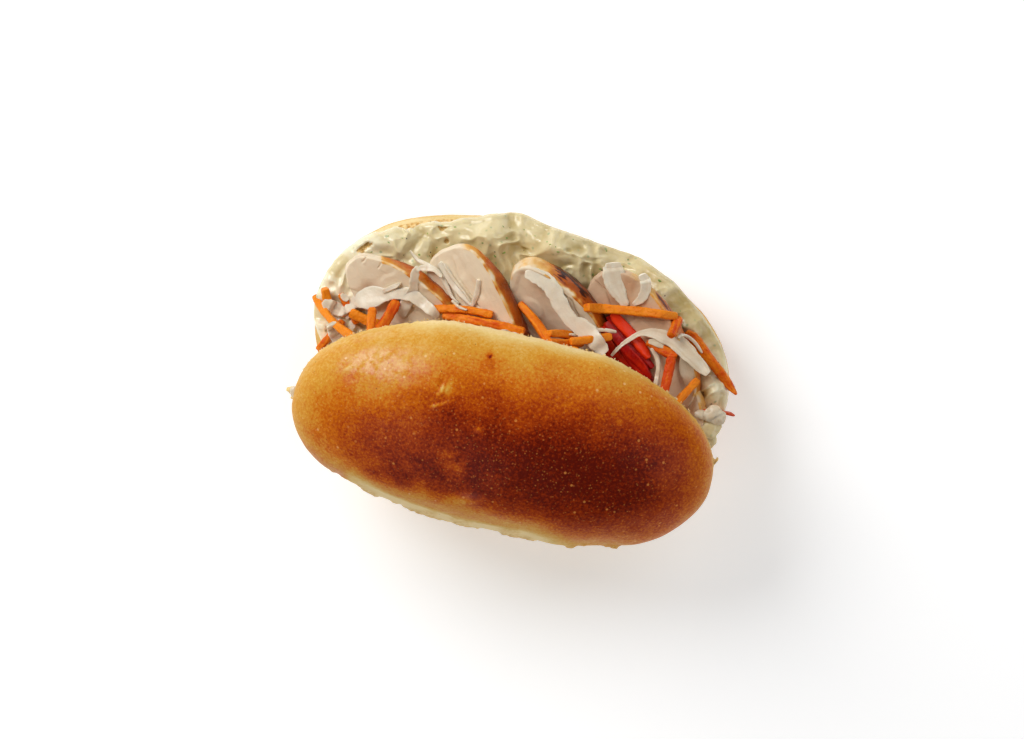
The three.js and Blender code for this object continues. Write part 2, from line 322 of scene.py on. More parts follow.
def fused(mesh: Mesh, voxel: float, smoothing: int) -> Mesh:
    """Overlapping closed shells fused into one even skin.

    Args:
        mesh: the shells; it is used up.
        voxel: size of the cells that they are cast in, in millimetres.
        smoothing: how many times the new skin is smoothed.

    Returns:
        The new mesh, with the same name.
    """
    caster = placed("casting", mesh)
    remesh = caster.modifiers.new("cast", "REMESH")
    remesh.mode = "VOXEL"
    remesh.voxel_size = voxel * MILLIMETRE
    smooth = caster.modifiers.new("ease", "SMOOTH")
    smooth.factor = 0.5
    smooth.iterations = smoothing
    graph = bpy.context.evaluated_depsgraph_get()
    cast = bpy.data.meshes.new_from_object(caster.evaluated_get(graph))
    name = mesh.name
    bpy.data.objects.remove(caster)
    bpy.data.meshes.remove(mesh)
    cast.name = name
    cast.shade_smooth()
    return cast


def read_points(mesh: Mesh, value: str) -> Array:
    """Reads a value of each point of a mesh.

    Args:
        mesh: the mesh.
        value: "co" for its place in metres or "normal" for its outward direction.

    Returns:
        One row for each point.
    """
    read = np.empty(len(mesh.vertices) * 3, np.float32)
    mesh.vertices.foreach_get(value, read)
    return read.reshape(-1, 3).astype(float)


def write_points(mesh: Mesh, places: Array) -> None:
    """Moves a mesh's points to places in millimetres."""
    mesh.vertices.foreach_set("co", (places * MILLIMETRE).astype(np.float32).ravel())
    mesh.update()


def ribbon(
    path: Array, width: Array, thickness: Array, exponent: float, sides: int,
    roll: Array | float = 0.0, curl: Array | float = 0.0,
) -> Array:
    """Rings of a strip: a superellipse section carried along a path.

    The section starts level across the path. The roll turns it about the path, and the curl lifts
    its edges, as the square of the place across.

    Args:
        path: places along its middle.
        width: its width at each place.
        thickness: its thickness at each place.
        exponent: 2 for an oval section, more for a square one.
        sides: points round the section.
        roll: turn of the section at each place, in radians.
        curl: lift of its edges at each place.

    Returns:
        Places shaped path x sides x 3.
    """
    values = (width, thickness, roll, curl)
    width, thickness, roll, curl = (np.broadcast_to(value, len(path))[:, None] for value in values)
    along = unit(np.gradient(path, axis=0))
    side = unit(np.cross(along, [0.0, 0.0, 1.0]))
    lift = np.cross(side, along)
    cos, sin = np.cos(roll), np.sin(roll)
    side, lift = side * cos + lift * sin, lift * cos - side * sin
    angle = round_ways(sides)
    across = bent(np.cos(angle), exponent)
    reach = 0.5 * width * across
    climb = 0.5 * thickness * bent(np.sin(angle), exponent) + curl * across**2
    return path[:, None] + side[:, None] * reach[..., None] + lift[:, None] * climb[..., None]


def lump(
    centre: Numbers, size: Numbers, turn: float, seed: int, rough: float, rows: int = 5, cols: int = 7
) -> Array:
    """Rings of an uneven ellipsoid: a ball made uneven by noise, then stretched and turned.

    Args:
        centre: its middle.
        size: its half sizes along, across and up.
        turn: its heading in radians.
        seed: picks its unevenness.
        rough: depth of its unevenness, as a share of its size.
        rows: rings from pole to pole.
        cols: points round each ring.

    Returns:
        Places shaped rows x cols x 3.
    """
    polar = np.linspace(0.16, math.pi - 0.16, rows)[:, None]
    angle = round_ways(cols)[None]
    ball = joined(np.sin(polar) * np.cos(angle), np.sin(polar) * np.sin(angle), np.cos(polar))
    ball = ball * (1 + rough * lattice_noise(ball + seed * 3.7, 0.9, seed))[..., None] * size
    cos, sin = math.cos(turn), math.sin(turn)
    x, y, z = ball[..., 0], ball[..., 1], ball[..., 2]
    return joined(x * cos - y * sin, x * sin + y * cos, z) + centre


def through(knots: Array, share: Array) -> Array:
    """A smooth curve through knots: a Catmull-Rom cubic between each pair.

    Args:
        knots: rows of numbers that the curve passes.
        share: places along it, from 0 to 1.

    Returns:
        One row for each place.
    """
    padded = np.concatenate([2 * knots[:1] - knots[1:2], knots, 2 * knots[-1:] - knots[-2:-1]])
    at = np.clip(share, 0, 1) * (len(knots) - 1)
    first = np.minimum(at.astype(int), len(knots) - 2)
    t = (at - first)[:, None]
    a, b, c, d = (padded[first + k] for k in range(4))
    bend = (2 * a - 5 * b + 4 * c - d) * t**2 + (3 * b - a - 3 * c + d) * t**3
    return 0.5 * (2 * b + (c - a) * t + bend)


def from_segment(spots: Spots, ends: Numbers) -> tuple[Array, Array]:
    """Tells spots from a line between two ends.

    Args:
        spots: their X and Y.
        ends: X and Y of the line's first end, then of its last.

    Returns:
        Distance from the line, to its left, and share of the way along it.
    """
    (x, y), (x0, y0, x1, y1) = spots, ends
    length = math.hypot(x1 - x0, y1 - y0)
    along = ((x - x0) * (x1 - x0) + (y - y0) * (y1 - y0)) / length**2
    across = ((y - y0) * (x1 - x0) - (x - x0) * (y1 - y0)) / length
    return across, along


# ---- shader tools


def shade(*screen: int) -> Color:
    """A screen's red, green and blue, 0 to 255, as a shader's linear light: the sRGB curve."""
    parts = np.array(screen) / 255
    return (*np.where(parts <= 0.04045, parts / 12.92, ((parts + 0.055) / 1.055) ** 2.4).tolist(), 1.0)


@dataclass(frozen=True)
class Signal:
    """A number that varies over a surface. Arithmetic on it adds Math nodes."""

    board: "Board"
    socket: Socket

    def __add__(self, other: "Signal | float") -> "Signal":
        """Sum."""
        return self.board.math("ADD", self, other)

    __radd__ = __add__

    def __sub__(self, other: "Signal | float") -> "Signal":
        """Difference."""
        return self.board.math("SUBTRACT", self, other)

    def __rsub__(self, other: "Signal | float") -> "Signal":
        """Difference, the other way round."""
        return self.board.math("SUBTRACT", other, self)

    def __mul__(self, other: "Signal | float") -> "Signal":
        """Product."""
        return self.board.math("MULTIPLY", self, other)

    __rmul__ = __mul__

    def between(self, low: float, high: float) -> "Signal":
        """A smooth S from 0 at low, which may be the larger of the two, to 1 at high."""
        inputs = {"Value": self, "From Min": low, "From Max": high}
        return self.board.signal("Result", "ShaderNodeMapRange", SMOOTH_STEP, inputs)


class Board:
    """The node tree of one finish."""

    def __init__(self, name: str) -> None:
        """Starts an empty material.

        Args:
            name: the material's name.
        """
        self.material = bpy.data.materials.new(name)
        self.material.use_nodes = True
        self.tree = self.material.node_tree
        self.tree.nodes.clear()
        self.coordinates = self.node("ShaderNodeTexCoord").outputs["Object"]

    def node(self, kind: str, settings: Values = None, inputs: Values = None) -> bpy.types.Node:
        """Adds a node.

        Args:
            kind: the node's type.
            settings: its own settings, or "stops" for a ramp, as pairs of place and colour.
            inputs: values or links of its sockets, by name or number.

        Returns:
            The node.
        """
        node = self.tree.nodes.new(kind)
        for name, value in (settings or {}).items():
            if name != "stops":
                setattr(node, name, value)
                continue
            stops = node.color_ramp.elements
            while len(stops) < len(value):
                stops.new(1.0)
            for stop, (place, color) in zip(stops, value):
                stop.position, stop.color = place, color
        for name, value in (inputs or {}).items():
            source = value.socket if isinstance(value, Signal) else value
            if isinstance(source, Socket):
                self.tree.links.new(source, node.inputs[name])
            else:
                node.inputs[name].default_value = source
        return node

    def signal(self, output: str | int, kind: str, settings: Values, inputs: Values = None) -> Signal:
        """Adds a node and reads one of its outputs."""
        return Signal(self, self.node(kind, settings, inputs).outputs[output])

    def math(self, operation: str, first: Signal | float, second: Signal | float) -> Signal:
        """Adds a Math node on two numbers or signals."""
        return self.signal(0, "ShaderNodeMath", {"operation": operation}, {0: first, 1: second})

    def mark(self, name: str) -> Signal:
        """A value marked on the piece's points."""
        return self.signal("Fac", "ShaderNodeAttribute", {"attribute_name": name})

    def stretched(self, sizes: Point, turn: float = 0.0) -> Socket:
        """Object coordinates, turned and then drawn out.

        Args:
            sizes: what they are divided by along each axis.
            turn: turn about Z before that, in degrees.

        Returns:
            The coordinates, for noise to be read at.
        """
        inputs = {"Vector": self.coordinates, "Angle": math.radians(turn)}
        turned = self.node("ShaderNodeVectorRotate", {"rotation_type": "Z_AXIS"}, inputs)
        inputs = {0: turned.outputs[0], 1: sizes}
        return self.node("ShaderNodeVectorMath", {"operation": "DIVIDE"}, inputs).outputs[0]

    def noise(
        self, size: float, detail: float = 2.0, roughness: float = 0.5, swirl: float = 0.0,
        vector: Socket | None = None,
    ) -> Signal:
        """Cloudy noise.

        Args:
            size: size of its features in millimetres.
            detail: how many finer layers it has.
            roughness: strength of each finer layer.
            swirl: how far it is stirred.
            vector: where it is read; on Object coordinates if None.

        Returns:
            The noise, 0 to 1 around a half.
        """
        inputs = {
            "Vector": vector or self.coordinates, "Scale": 1 / (size * MILLIMETRE),
            "Detail": detail, "Roughness": roughness, "Distortion": swirl,
        }
        return self.signal("Fac", "ShaderNodeTexNoise", None, inputs)

    def scatter(self, size: float) -> bpy.types.Node:
        """Scattered cells of a size in millimetres."""
        inputs = {"Vector": self.coordinates, "Scale": 1 / (size * MILLIMETRE)}
        return self.node("ShaderNodeTexVoronoi", None, inputs)

    def cells(self, size: float) -> Signal:
        """Distance from the middle of scattered cells of a size in millimetres, in cells."""
        return Signal(self, self.scatter(size).outputs["Distance"])

    def specks(self, size: float, reach: float, rarity: float) -> Signal:
        """Round specks in some of the cells of a scatter.

        Args:
            size: width of a cell in millimetres.
            reach: radius of a speck, as a share of its cell.
            rarity: share of the cells left empty.

        Returns:
            1 in a speck, fading to 0 round it.
        """
        outputs = self.scatter(size).outputs
        chosen = Signal(self, outputs["Color"]).between(rarity, rarity + 0.15)
        return Signal(self, outputs["Distance"]).between(reach, reach * 0.45) * chosen

    def ramp(self, share: Signal, *stops: tuple[float, Color]) -> Socket:
        """A colour for each share, between stops."""
        node = self.node("ShaderNodeValToRGB", {"stops": stops}, {0: share})
        return node.outputs["Color"]

    def mix(self, share: Signal | float, first: object, second: object) -> Socket:
        """Colour that goes from the first to the second as a share goes from 0 to 1."""
        node = self.node("ShaderNodeMix", {"data_type": "RGBA"}, {0: share, 6: first, 7: second})
        return node.outputs[2]

    def relief(self, height: Signal, depth: float) -> Socket:
        """Bumps from a height signal, whose 1 stands a depth in millimetres proud of its 0."""
        node = self.node("ShaderNodeBump", None, {"Height": height, "Distance": depth * MILLIMETRE})
        return node.outputs["Normal"]

    def finished(self, **sockets: object) -> Finish:
        """Ends the tree in a Principled shader.

        Args:
            sockets: the shader's sockets, with underscores for the spaces in their names.

        Returns:
            The material.
        """
        named = {name.replace("_", " "): value for name, value in sockets.items()}
        shader = self.node("ShaderNodeBsdfPrincipled", None, named)
        output = self.node("ShaderNodeOutputMaterial")
        self.tree.links.new(shader.outputs[0], output.inputs["Surface"])
        return self.material


# ---- finishes


@dataclass(frozen=True)
class CrustFinish:
    """Baked crust from pale to mahogany, and the open crumb at the cut."""

    # White dough: the crust's own on the rims, painted light on the shaded front.
    dough_and_painted_light: Color = shade(237, 209, 150)
    pale: Color = shade(223, 188, 110)
    gold: Color = shade(212, 151, 50)
    amber: Color = shade(200, 102, 10)
    brown: Color = shade(166, 62, 9)
    russet: Color = shade(130, 36, 6)
    mahogany: Color = shade(94, 18, 5)
    crumb: Color = shade(243, 213, 154)
    crumb_shade: Color = shade(213, 160, 86)
    bubble: Color = shade(226, 144, 68)
    flour: Color = shade(240, 208, 148)
    pore: Color = shade(70, 18, 10)
    sole: Color = shade(200, 156, 106)
    grain: float = 0.75
    grain_depth: float = 0.11

    def build(self) -> Finish:
        """Makes the material.

        The mark `bake` runs the crust's colours from pale to mahogany, unsettled by fine grain;
        below 0 it is white dough, which at the front is painted light. Light dots, larger bubbles and
        dark pores lie on it. The mark `sole` dulls the underside, `glaze` shines and `crumb` turns
        crust into open crumb, whose pores are darker as painted shade.

        Returns:
            The material.
        """
        board = Board("milk_roll")
        bake = board.mark("bake")
        crumb = board.mark("crumb")
        grain = board.noise(0.95, 3, 0.65) - 0.5
        clouds = board.noise(6, 3) - 0.5
        toasted = bake + clouds * 0.14 + grain * (bake + 0.22)
        bakes = (self.pale, self.gold, self.amber, self.brown, self.russet, self.mahogany)
        crust = board.ramp(toasted, *((step / 5, color) for step, color in enumerate(bakes)))
        # Below 0 the crust turns white dough: its own on the rims, painted light at the front.
        crust = board.mix(toasted.between(0.02, -0.12), crust, self.dough_and_painted_light)
        crust = board.mix(board.mark("sole"), crust, self.sole)
        bubble = board.mix(bake.between(0.15, 0.6), self.flour, self.bubble)
        dots = board.specks(1.05, 0.38, 0.35) * board.noise(1.3, 2).between(0.36, 0.66)
        crust = board.mix(dots * (0.1 + bake * 0.3), crust, bubble)
        for size, reach, rarity, strength, color in (
            (2.4, 0.15, 0.5, 0.3, bubble),
            (4.2, 0.15, 0.45, 0.6, bubble),
            (3, 0.11, 0.6, 0.55, self.pore),
        ):
            crust = board.mix(board.specks(size, reach, rarity) * strength, crust, color)
        holes = board.cells(1.5).between(0.15, 0.6) * board.noise(2.0, 2).between(0.3, 0.62)
        # Painted shade: the crumb is darker in its low pores.
        inside = board.mix(holes, self.crumb_shade, self.crumb)
        color = board.mix(crumb, crust, inside)
        peel = board.noise(self.grain, 3, 0.65) + board.noise(1.9, 2) * 1.1
        height = peel * (1 - crumb) + (holes * 3 + board.noise(0.6, 3) * 1.5) * crumb
        roughness = 0.5 - bake.between(0.1, 0.35) * 0.16 + grain * 0.2 + crumb * 0.4
        shine = board.mark("glaze") * board.noise(2.6, 3, 0.6).between(0.34, 0.6)
        return board.finished(
            Base_Color=color, Roughness=roughness, Normal=board.relief(height, self.grain_depth),
            Specular_IOR_Level=0.08, Coat_Weight=shine, Coat_Roughness=0.3,
        )


@dataclass(frozen=True)
class CreamFinish:
    """Thick moist herb cream."""

    # White is painted light on brightly lit cream. The light and the deep colour are the cream lit and in
    # painted shade, and cloudy noise mixes them too. The crumb pit colour is painted shade in the bare
    # crumb's low pits.
    white: Color = shade(243, 232, 198)
    light: Color = shade(228, 212, 166)
    deep_and_shaded: Color = shade(194, 170, 110)
    herb: Color = shade(140, 166, 118)
    crumb: Color = shade(234, 196, 118)
    crumb_pit_shade: Color = shade(200, 156, 86)

    def build(self) -> Finish:
        """Makes the material: cloudy cream with faint green specks.

        The painted shading mark deepens its colour as painted shade, and below 0 whitens it as painted
        light. The mark `bare` thins it until the crumb under it shows, darker in its low pits as
        painted shade.

        Returns:
            The material.
        """
        board = Board("herb_cream")
        hollow = board.mark("hollow")
        cloud = board.noise(3.5, 3)
        # Painted shade deepens the colour where the mark is high, and painted light whitens it below 0.
        color = board.mix((hollow * 0.8 + (cloud - 0.5) * 0.6).between(0.0, 1.0), self.light, self.deep_and_shaded)
        color = board.mix((hollow + (cloud - 0.5) * 0.4).between(0.05, -0.4), color, self.white)
        specks = board.cells(2.8).between(0.3, 0.04) * board.noise(4, 1).between(0.5, 0.64)
        color = board.mix(specks * 0.75, color, self.herb)
        bare = board.mark("bare").between(0.2, 0.7)
        pits = board.noise(0.8, 3, 0.6).between(0.42, 0.62)
        # Painted shade: the bare crumb is darker in its low pits.
        color = board.mix(bare, color, board.mix(pits, self.crumb_pit_shade, self.crumb))
        height = board.noise(1.8, 2, 0.5) + board.noise(0.5, 2) * 0.1 + pits * bare * 1.5
        return board.finished(
            Base_Color=color, Roughness=0.13 + cloud * 0.16 + bare * 0.5,
            Normal=board.relief(height, 0.2), Subsurface_Weight=0.25,
            Subsurface_Radius=(1.0, 0.85, 0.5), Subsurface_Scale=0.0015,
        )


@dataclass(frozen=True)
class ChickenFinish:
    """Cooked breast meat with a grilled rim."""

    meat: Color = shade(234, 215, 185)
    # Pinker meat, also used as painted shade in the dents.
    blush: Color = shade(196, 152, 116)
    golden: Color = shade(230, 184, 108)
    tan: Color = shade(210, 140, 56)
    amber: Color = shade(190, 92, 18)
    brown: Color = shade(128, 54, 14)
    burnt: Color = shade(60, 22, 12)

    def build(self) -> Finish:
        """Makes the material: pale fibrous meat.

        The pink mark makes it pinker, for the meat's own pink and as painted shade in dents; `sear` browns
        it and `char` blackens it.

        Returns:
            The material.
        """
        board = Board("grilled_chicken")
        sear = board.mark("sear")
        char = board.mark("char")
        blush = board.mark("blush")
        fibre = board.noise(2.2, 3, 0.6, 0.4, board.stretched((1.0, 3.2, 3.2), 40))
        cloud = board.noise(6, 2)
        # Painted shade in the dents adds to the meat's own pink here.
        pinkness_and_shade = (fibre - 0.5) * 0.25 + (cloud - 0.5) * 0.3 + blush * 0.6
        meat = board.mix(pinkness_and_shade.between(0.0, 1.0), self.meat, self.blush)
        mottle = board.noise(2.4, 4, 0.6) - 0.5
        crust = board.ramp(
            sear + mottle * 0.315,
            (0.22, self.golden),
            (0.45, self.tan),
            (0.65, self.amber),
            (0.95, self.brown),
        )
        edge = (sear + mottle * 0.21).between(0.03, 0.3)
        color = board.mix(edge, meat, crust)
        burn = char + mottle * 0.35
        color = board.mix(burn.between(0.2, 0.45), color, self.brown)
        color = board.mix(burn.between(0.4, 0.8), color, self.burnt)
        height = fibre + board.noise(0.7, 3) * 0.5 + edge * board.noise(1.5, 3)
        return board.finished(
            Base_Color=color, Roughness=0.38 + (cloud - 0.5) * 0.25 - edge * 0.08,
            Normal=board.relief(height, 0.16), Specular_IOR_Level=0.25, Subsurface_Weight=0.15,
            Subsurface_Radius=(1.0, 0.8, 0.6), Subsurface_Scale=0.0015,
        )


@dataclass(frozen=True)
class StripFinish:
    """A cut vegetable, a herb or a crumb: two tones, fine grain and a sheen; some strips' tone is painted
    shade.
    """

    name: str
    light: Color
    dark: Color
    roughness: float
    soft: float
    relief: float = 0.15
    grain: float = 0.8
    gloss: float = 0.38

    def build(self) -> Finish:
        """Makes the material. A tone mark picks each strip's tone, on some strips set as painted shade or
        painted light; fine noise unsettles it.

        Returns:
            The material.
        """
        board = Board(self.name)
        tint = board.mark("tint")
        cloud = board.noise(2.2, 3)
        color = board.mix((tint + (cloud - 0.5) * 0.9).between(0.0, 1.0), self.light, self.dark)
        height = board.noise(self.grain, 3, 0.6) + cloud
        return board.finished(
            Base_Color=color, Roughness=self.roughness + (cloud - 0.5) * 0.2,
            Normal=board.relief(height, self.relief), Specular_IOR_Level=self.gloss,
            Subsurface_Weight=self.soft, Subsurface_Radius=(1.0, 0.8, 0.6), Subsurface_Scale=0.0012,
        )


# Two tones of each finish; for carrot, cabbage and pepper the lighter also stands for the vegetable lit and
# the darker for it in painted shade.
CARROT = StripFinish(
    "carrot", shade(240, 140, 26), shade(208, 68, 2), roughness=0.4, soft=0.04, relief=0.4, grain=1.1,
    gloss=0.15,
)
CABBAGE = StripFinish(
    "white_cabbage", shade(232, 221, 199), shade(210, 190, 158), roughness=0.28, soft=0.3, relief=0.08
)
PEPPER = StripFinish(
    "red_pepper", shade(228, 56, 16), shade(154, 10, 6), roughness=0.26, soft=0.0, gloss=0.28
)
HERB = StripFinish("green_herb", shade(154, 176, 88), shade(100, 134, 62), roughness=0.5, soft=0.0)
SPICE = StripFinish("black_pepper", shade(74, 58, 40), shade(34, 28, 24), roughness=0.6, soft=0.0)
CRUMBS = StripFinish("torn_crumb", shade(236, 208, 156), shade(224, 184, 112), roughness=0.8, soft=0.1)
LIP = StripFinish(
    "torn_lip", shade(240, 208, 138), shade(224, 180, 98), roughness=0.7, soft=0.1, relief=0.3
)
MIXED = StripFinish("packed_slaw", shade(226, 198, 150), shade(190, 92, 30), roughness=0.45, soft=0.1)


# ---- roll


@dataclass(frozen=True)
class RollPoints:
    """Points of the roll: on the table, their outward directions, and in the crown's frame."""

    places: Array
    normals: Array
    local: Array


@dataclass
class Roll:
    """The milk roll: a lower half and a crown, uncut at the front, in one piece.

    On the crown, a patch is X, Y, radius and how much more it is baked, and a crease is X, Y,
    length, width, heading and height of a ridge. A flake of torn crust is X, Y, Z, half length,
    half width and heading. The mouth ends before `mouth_front`.
    """

    half_length: float = 74.6
    back: float = 45.6
    front: float = 52.0
    back_roundness: float = 2.2
    front_roundness: float = 2.0
    height: float = 20.0
    widest_at: float = 11.0
    foot_inset: float = 14.0
    cut_inset: float = 2.2
    crown_length: float = 72.4
    crown_back: float = 38.6
    crown_front: float = 34.0
    crown_roundness: float = 2.2
    crown_height: float = 30.0
    dome: float = 2.25
    bulge: float = 1.2
    crown: Placement = Placement((1.5, -28.0, 40.9), heading=3.8, lean=26.0)
    hinge_sweep: float = 58.0
    hinge_low: float = 8.0
    hinge_high: float = 0.3
    hinge_depth: float = 14.0
    hinge_bulge: float = 2.4
    hinge_sunk: float = 0.6
    mouth_front: float = -46.0
    voxel: float = 0.84
    smoothing: int = 6
    around: int = 360
    patches: Rows = (
        (-13.5, -0.5, 4, -0.3), (-17.6, 2.5, 2.2, -0.22), (-8.4, 14.8, 1.5, -0.2),
        (-20.4, 23.2, 2.2, -0.2), (-18, 17.8, 4.5, 0.12), (-35.6, -8.1, 4, 0.12), (-23.3, -4.6, 6, 0.12),
        (-5.2, -3.1, 5.5, 0.12), (-9.6, 35, 0.4, 0.5), (-9.6, 34.8, 1.1, 0.1),
        (-11.4, 32.8, 1.5, 0.1), (-8.2, 33.5, 1.7, 0.14), (-5, 34.4, 1.4, 0.1),
        (-30, 4, 13, -0.08), (37.1, 23.7, 0.6, -0.3), (49.6, 13.9, 0.6, -0.3),
        (-54, 17.6, 3.4, 0.12), (-40, -8, 10, 0.08), (0, -16, 6, 0.1), (61, -11, 8, 0.08),
        (-44, 18, 9, -0.07), (-33, 27, 9, -0.05),
    )
    creases: Rows = (
        (-23.4, 23.4, 3.6, 0.55, 72, 0.7), (-21.8, 23.8, 2.6, 1.1, 72, 0.3),
        (-24.6, 18.4, 2.2, 0.45, 36, 0.55), (-22.6, 19.4, 3, 0.45, 26, 0.55),
        (-20.6, 20.4, 1.6, 0.4, 34, 0.4), (-55.8, 20.2, 4, 0.9, 44, 0.25),
        (-8.4, 14.8, 2, 1.2, 20, 0.22), (-5, -16, 8, 3, 20, -0.3),
    )
    flakes: Rows = (
        (-71.6, -33, 41.5, 2.4, 1.3, 0.1), (-70.4, -34.6, 40.5, 1.8, 1.5, 0.9),
        (73.9, -19.2, 33, 2.8, 0.6, 1.5), (74.6, -17.4, 33.4, 1.6, 0.4, 1.3),
    )

    def lower_place(self, angle: Array, z: Array) -> Array:
        """A place round the lower half.

        A superellipse whose size shrinks below the widest line as a quarter circle does, and above
        it with the square of the height.

        Args:
            angle: way round, in radians.
            z: height over the table.

        Returns:
            The places.
        """
        low = np.maximum(0, (self.widest_at - z) / self.widest_at)
        high = np.maximum(0, (z - self.widest_at) / (self.height - self.widest_at))
        inset = self.foot_inset * (1 - np.sqrt(1 - low**2)) + self.cut_inset * high**2
        opened = np.sin(angle) > 0
        exponent = np.where(opened, self.back_roundness, self.front_roundness)
        depth = np.where(opened, self.back, self.front)
        x = (self.half_length - inset) * bent(np.cos(angle), exponent)
        y = (depth - inset) * bent(np.sin(angle), exponent)
        return joined(x, y, z)

    def crown_place(self, angle: Array, share: Array) -> Array:
        """A place round the crown at a share of its height.

        A superellipse whose size falls with the share as another superellipse does, swollen over
        the cut edge by half a sine, and put in the crown's frame.

        Args:
            angle: way round, in radians.
            share: share of the crown's height.

        Returns:
            The places on the table.
        """
        scale = np.maximum(0, 1 - share**self.dome) ** (1 / self.dome)
        swell = self.bulge * np.sin(np.pi * np.minimum(1, share / 0.6))
        depth = np.where(np.sin(angle) > 0, self.crown_back, self.crown_front)
        x = (self.crown_length * scale + swell) * bent(np.cos(angle), self.crown_roundness)
        y = (depth * scale + swell) * bent(np.sin(angle), self.crown_roundness)
        return self.crown.out(joined(x, y, share * self.crown_height))

    def crown_edge(self, x: Array) -> Array:
        """The crown's edge at the open side: a superellipse, leant back and turned.

        Args:
            x: places along the roll.

        Returns:
            Y of the edge there.
        """
        along = np.minimum(1, np.abs(x - self.crown.origin[0]) / self.crown_length)
        reach = self.crown_back * (1 - along**self.crown_roundness) ** (1 / self.crown_roundness)
        turned = (x - self.crown.origin[0]) * math.sin(math.radians(self.crown.heading))
        return self.crown.origin[1] + reach * math.cos(math.radians(self.crown.lean)) + turned

    def crown_face(self, y: Array) -> Array:
        """Height of the crown's cut face over a place on the table."""
        slope = math.tan(math.radians(self.crown.lean))
        return self.crown.origin[2] + (y - self.crown.origin[1]) * slope

    def hinge(self) -> Array:
        """Rings of the uncut bread at the front.

        Each ring is a slab from a place on the lower half to one on the crown. Its outer side
        bulges by half a sine, and it thins out at both ends of its sweep.

        Returns:
            Places shaped rings x points x 3.
        """
        sweep = np.linspace(-1, 1, 90)
        angle = np.radians(-90 + sweep * self.hinge_sweep)
        outward = unit(joined(np.cos(angle) * 0.6, np.sin(angle), 0.0))
        taper = 1 - np.abs(sweep) ** 6
        inset = (self.hinge_sunk + (1 - taper) * 6)[:, None]
        bottom = self.lower_place(angle, np.full_like(angle, self.hinge_low)) - outward * inset
        top = self.crown_place(angle, np.full_like(angle, self.hinge_high)) - outward * inset
        depth = (self.hinge_depth * (0.45 + 0.55 * taper))[:, None, None]
        rise = np.linspace(0, 1, 24)[None, :, None]
        outer = bottom[:, None] + (top - bottom)[:, None] * rise
        bulge = self.hinge_bulge * taper[:, None, None] * np.sin(np.pi * rise)
        outer = outer + outward[:, None] * bulge
        inner = outer - outward[:, None] * depth
        return np.concatenate([inner, outer[:, ::-1]], axis=1)

    def shells(self) -> Mesh:
        """Makes the lower half, the crown and the hinge, closed and overlapping.

        Rings lie closer near both ends of each, as those of a globe do.

        Returns:
            The three shells in one mesh.
        """
        angle = round_ways(self.around)[None]
        heights = self.height * (0.5 - 0.5 * np.cos(np.linspace(0, np.pi, 40)))[:, None]
        shares = np.sin(np.linspace(0, np.pi / 2, 60) * 0.985)[:, None]
        skin = Skin()
        skin.add_tube(self.lower_place(angle, heights))
        skin.add_tube(self.crown_place(angle, shares))
        skin.add_tube(self.hinge())
        return skin.mesh("milk_roll")

    def build(self) -> Piece:
        """Fuses the shells, gives them their unevenness and marks crust and crumb.

        Returns:
            The piece.
        """
        mesh = fused(self.shells(), self.voxel, self.smoothing)
        places = read_points(mesh, "co") / MILLIMETRE
        normals = read_points(mesh, "normal")
        points = RollPoints(places, normals, self.crown.into(places))
        seam = self.seam(points)
        marks = self.marks(points, seam)
        uneven = self.unevenness(points, marks["crumb"], seam)
        places = self.slumped(places) + normals * uneven[:, None]
        places[:, 2] = np.maximum(places[:, 2], 0)
        write_points(mesh, places)
        for name, values in marks.items():
            mark_points(mesh, name, values)
        return add_piece(mesh, CrustFinish().build(), ["roll"])

    def slumped(self, places: Array) -> Array:
        """Lets the sides swell and fall in along the crown's Y, and draws the left end in.

        Each swelling is a bell curve along the roll, faded in by the height on its side.

        Args:
            places: points on the table.

        Returns:
            Where they go.
        """
        u, v, w = self.crown.into(places).T
        front = ease(places[:, 2], 8, 24)
        swell = (1.6 * bell(u, -28, 13) + 1.2 * bell(u, 29, 8)) * ease(v, 16, 30) * ease(w, -3, -1)
        fall = 2.1 * ease(v, -14, -26) * ease(u, -62, -48) * ease(u, 27, 11) * front
        bulge = 1.9 * bell(u, 54, 10) * ease(v, -8, -20) * front
        moved = places + np.outer(swell + fall - bulge, self.crown.axes[:, 1])
        low = ease(places[:, 2], self.height + 3, self.height)
        moved[:, 0] += 0.9 * ease(places[:, 0], -57, -71) * low
        return moved

    def marks(self, points: RollPoints, seam: Array) -> dict[str, Array]:
        """What the crust's finish reads on each point.

        Args:
            points: the roll's points.
            seam: its share in the torn seam.

        Returns:
            How far each point is baked, is open crumb, is glazed and lies on the sole, by name.
        """
        u, v, w = points.local.T
        crumb = self.openness(points, seam)
        sole = ease(-points.normals[:, 2], 0.15, 0.7) * ease(points.places[:, 2], 8, 2)
        # Ridges are painted paler, partly as a painted highlight, and glazed so the coat shines on them.
        ridge_and_highlight = np.clip(self.wrinkles(points) * 3, 0, 1)
        bake = np.clip(self.baking(points, sole) - 0.45 * ridge_and_highlight, -0.2, 1.1)
        glaze = 0.82 * bell(u, -48, 17) * bell(v, 24, 12) * (w > 5)
        glaze = np.clip(glaze + ridge_and_highlight, 0, 1) * (1 - crumb)
        return {"bake": bake, "crumb": crumb, "glaze": glaze, "sole": sole}

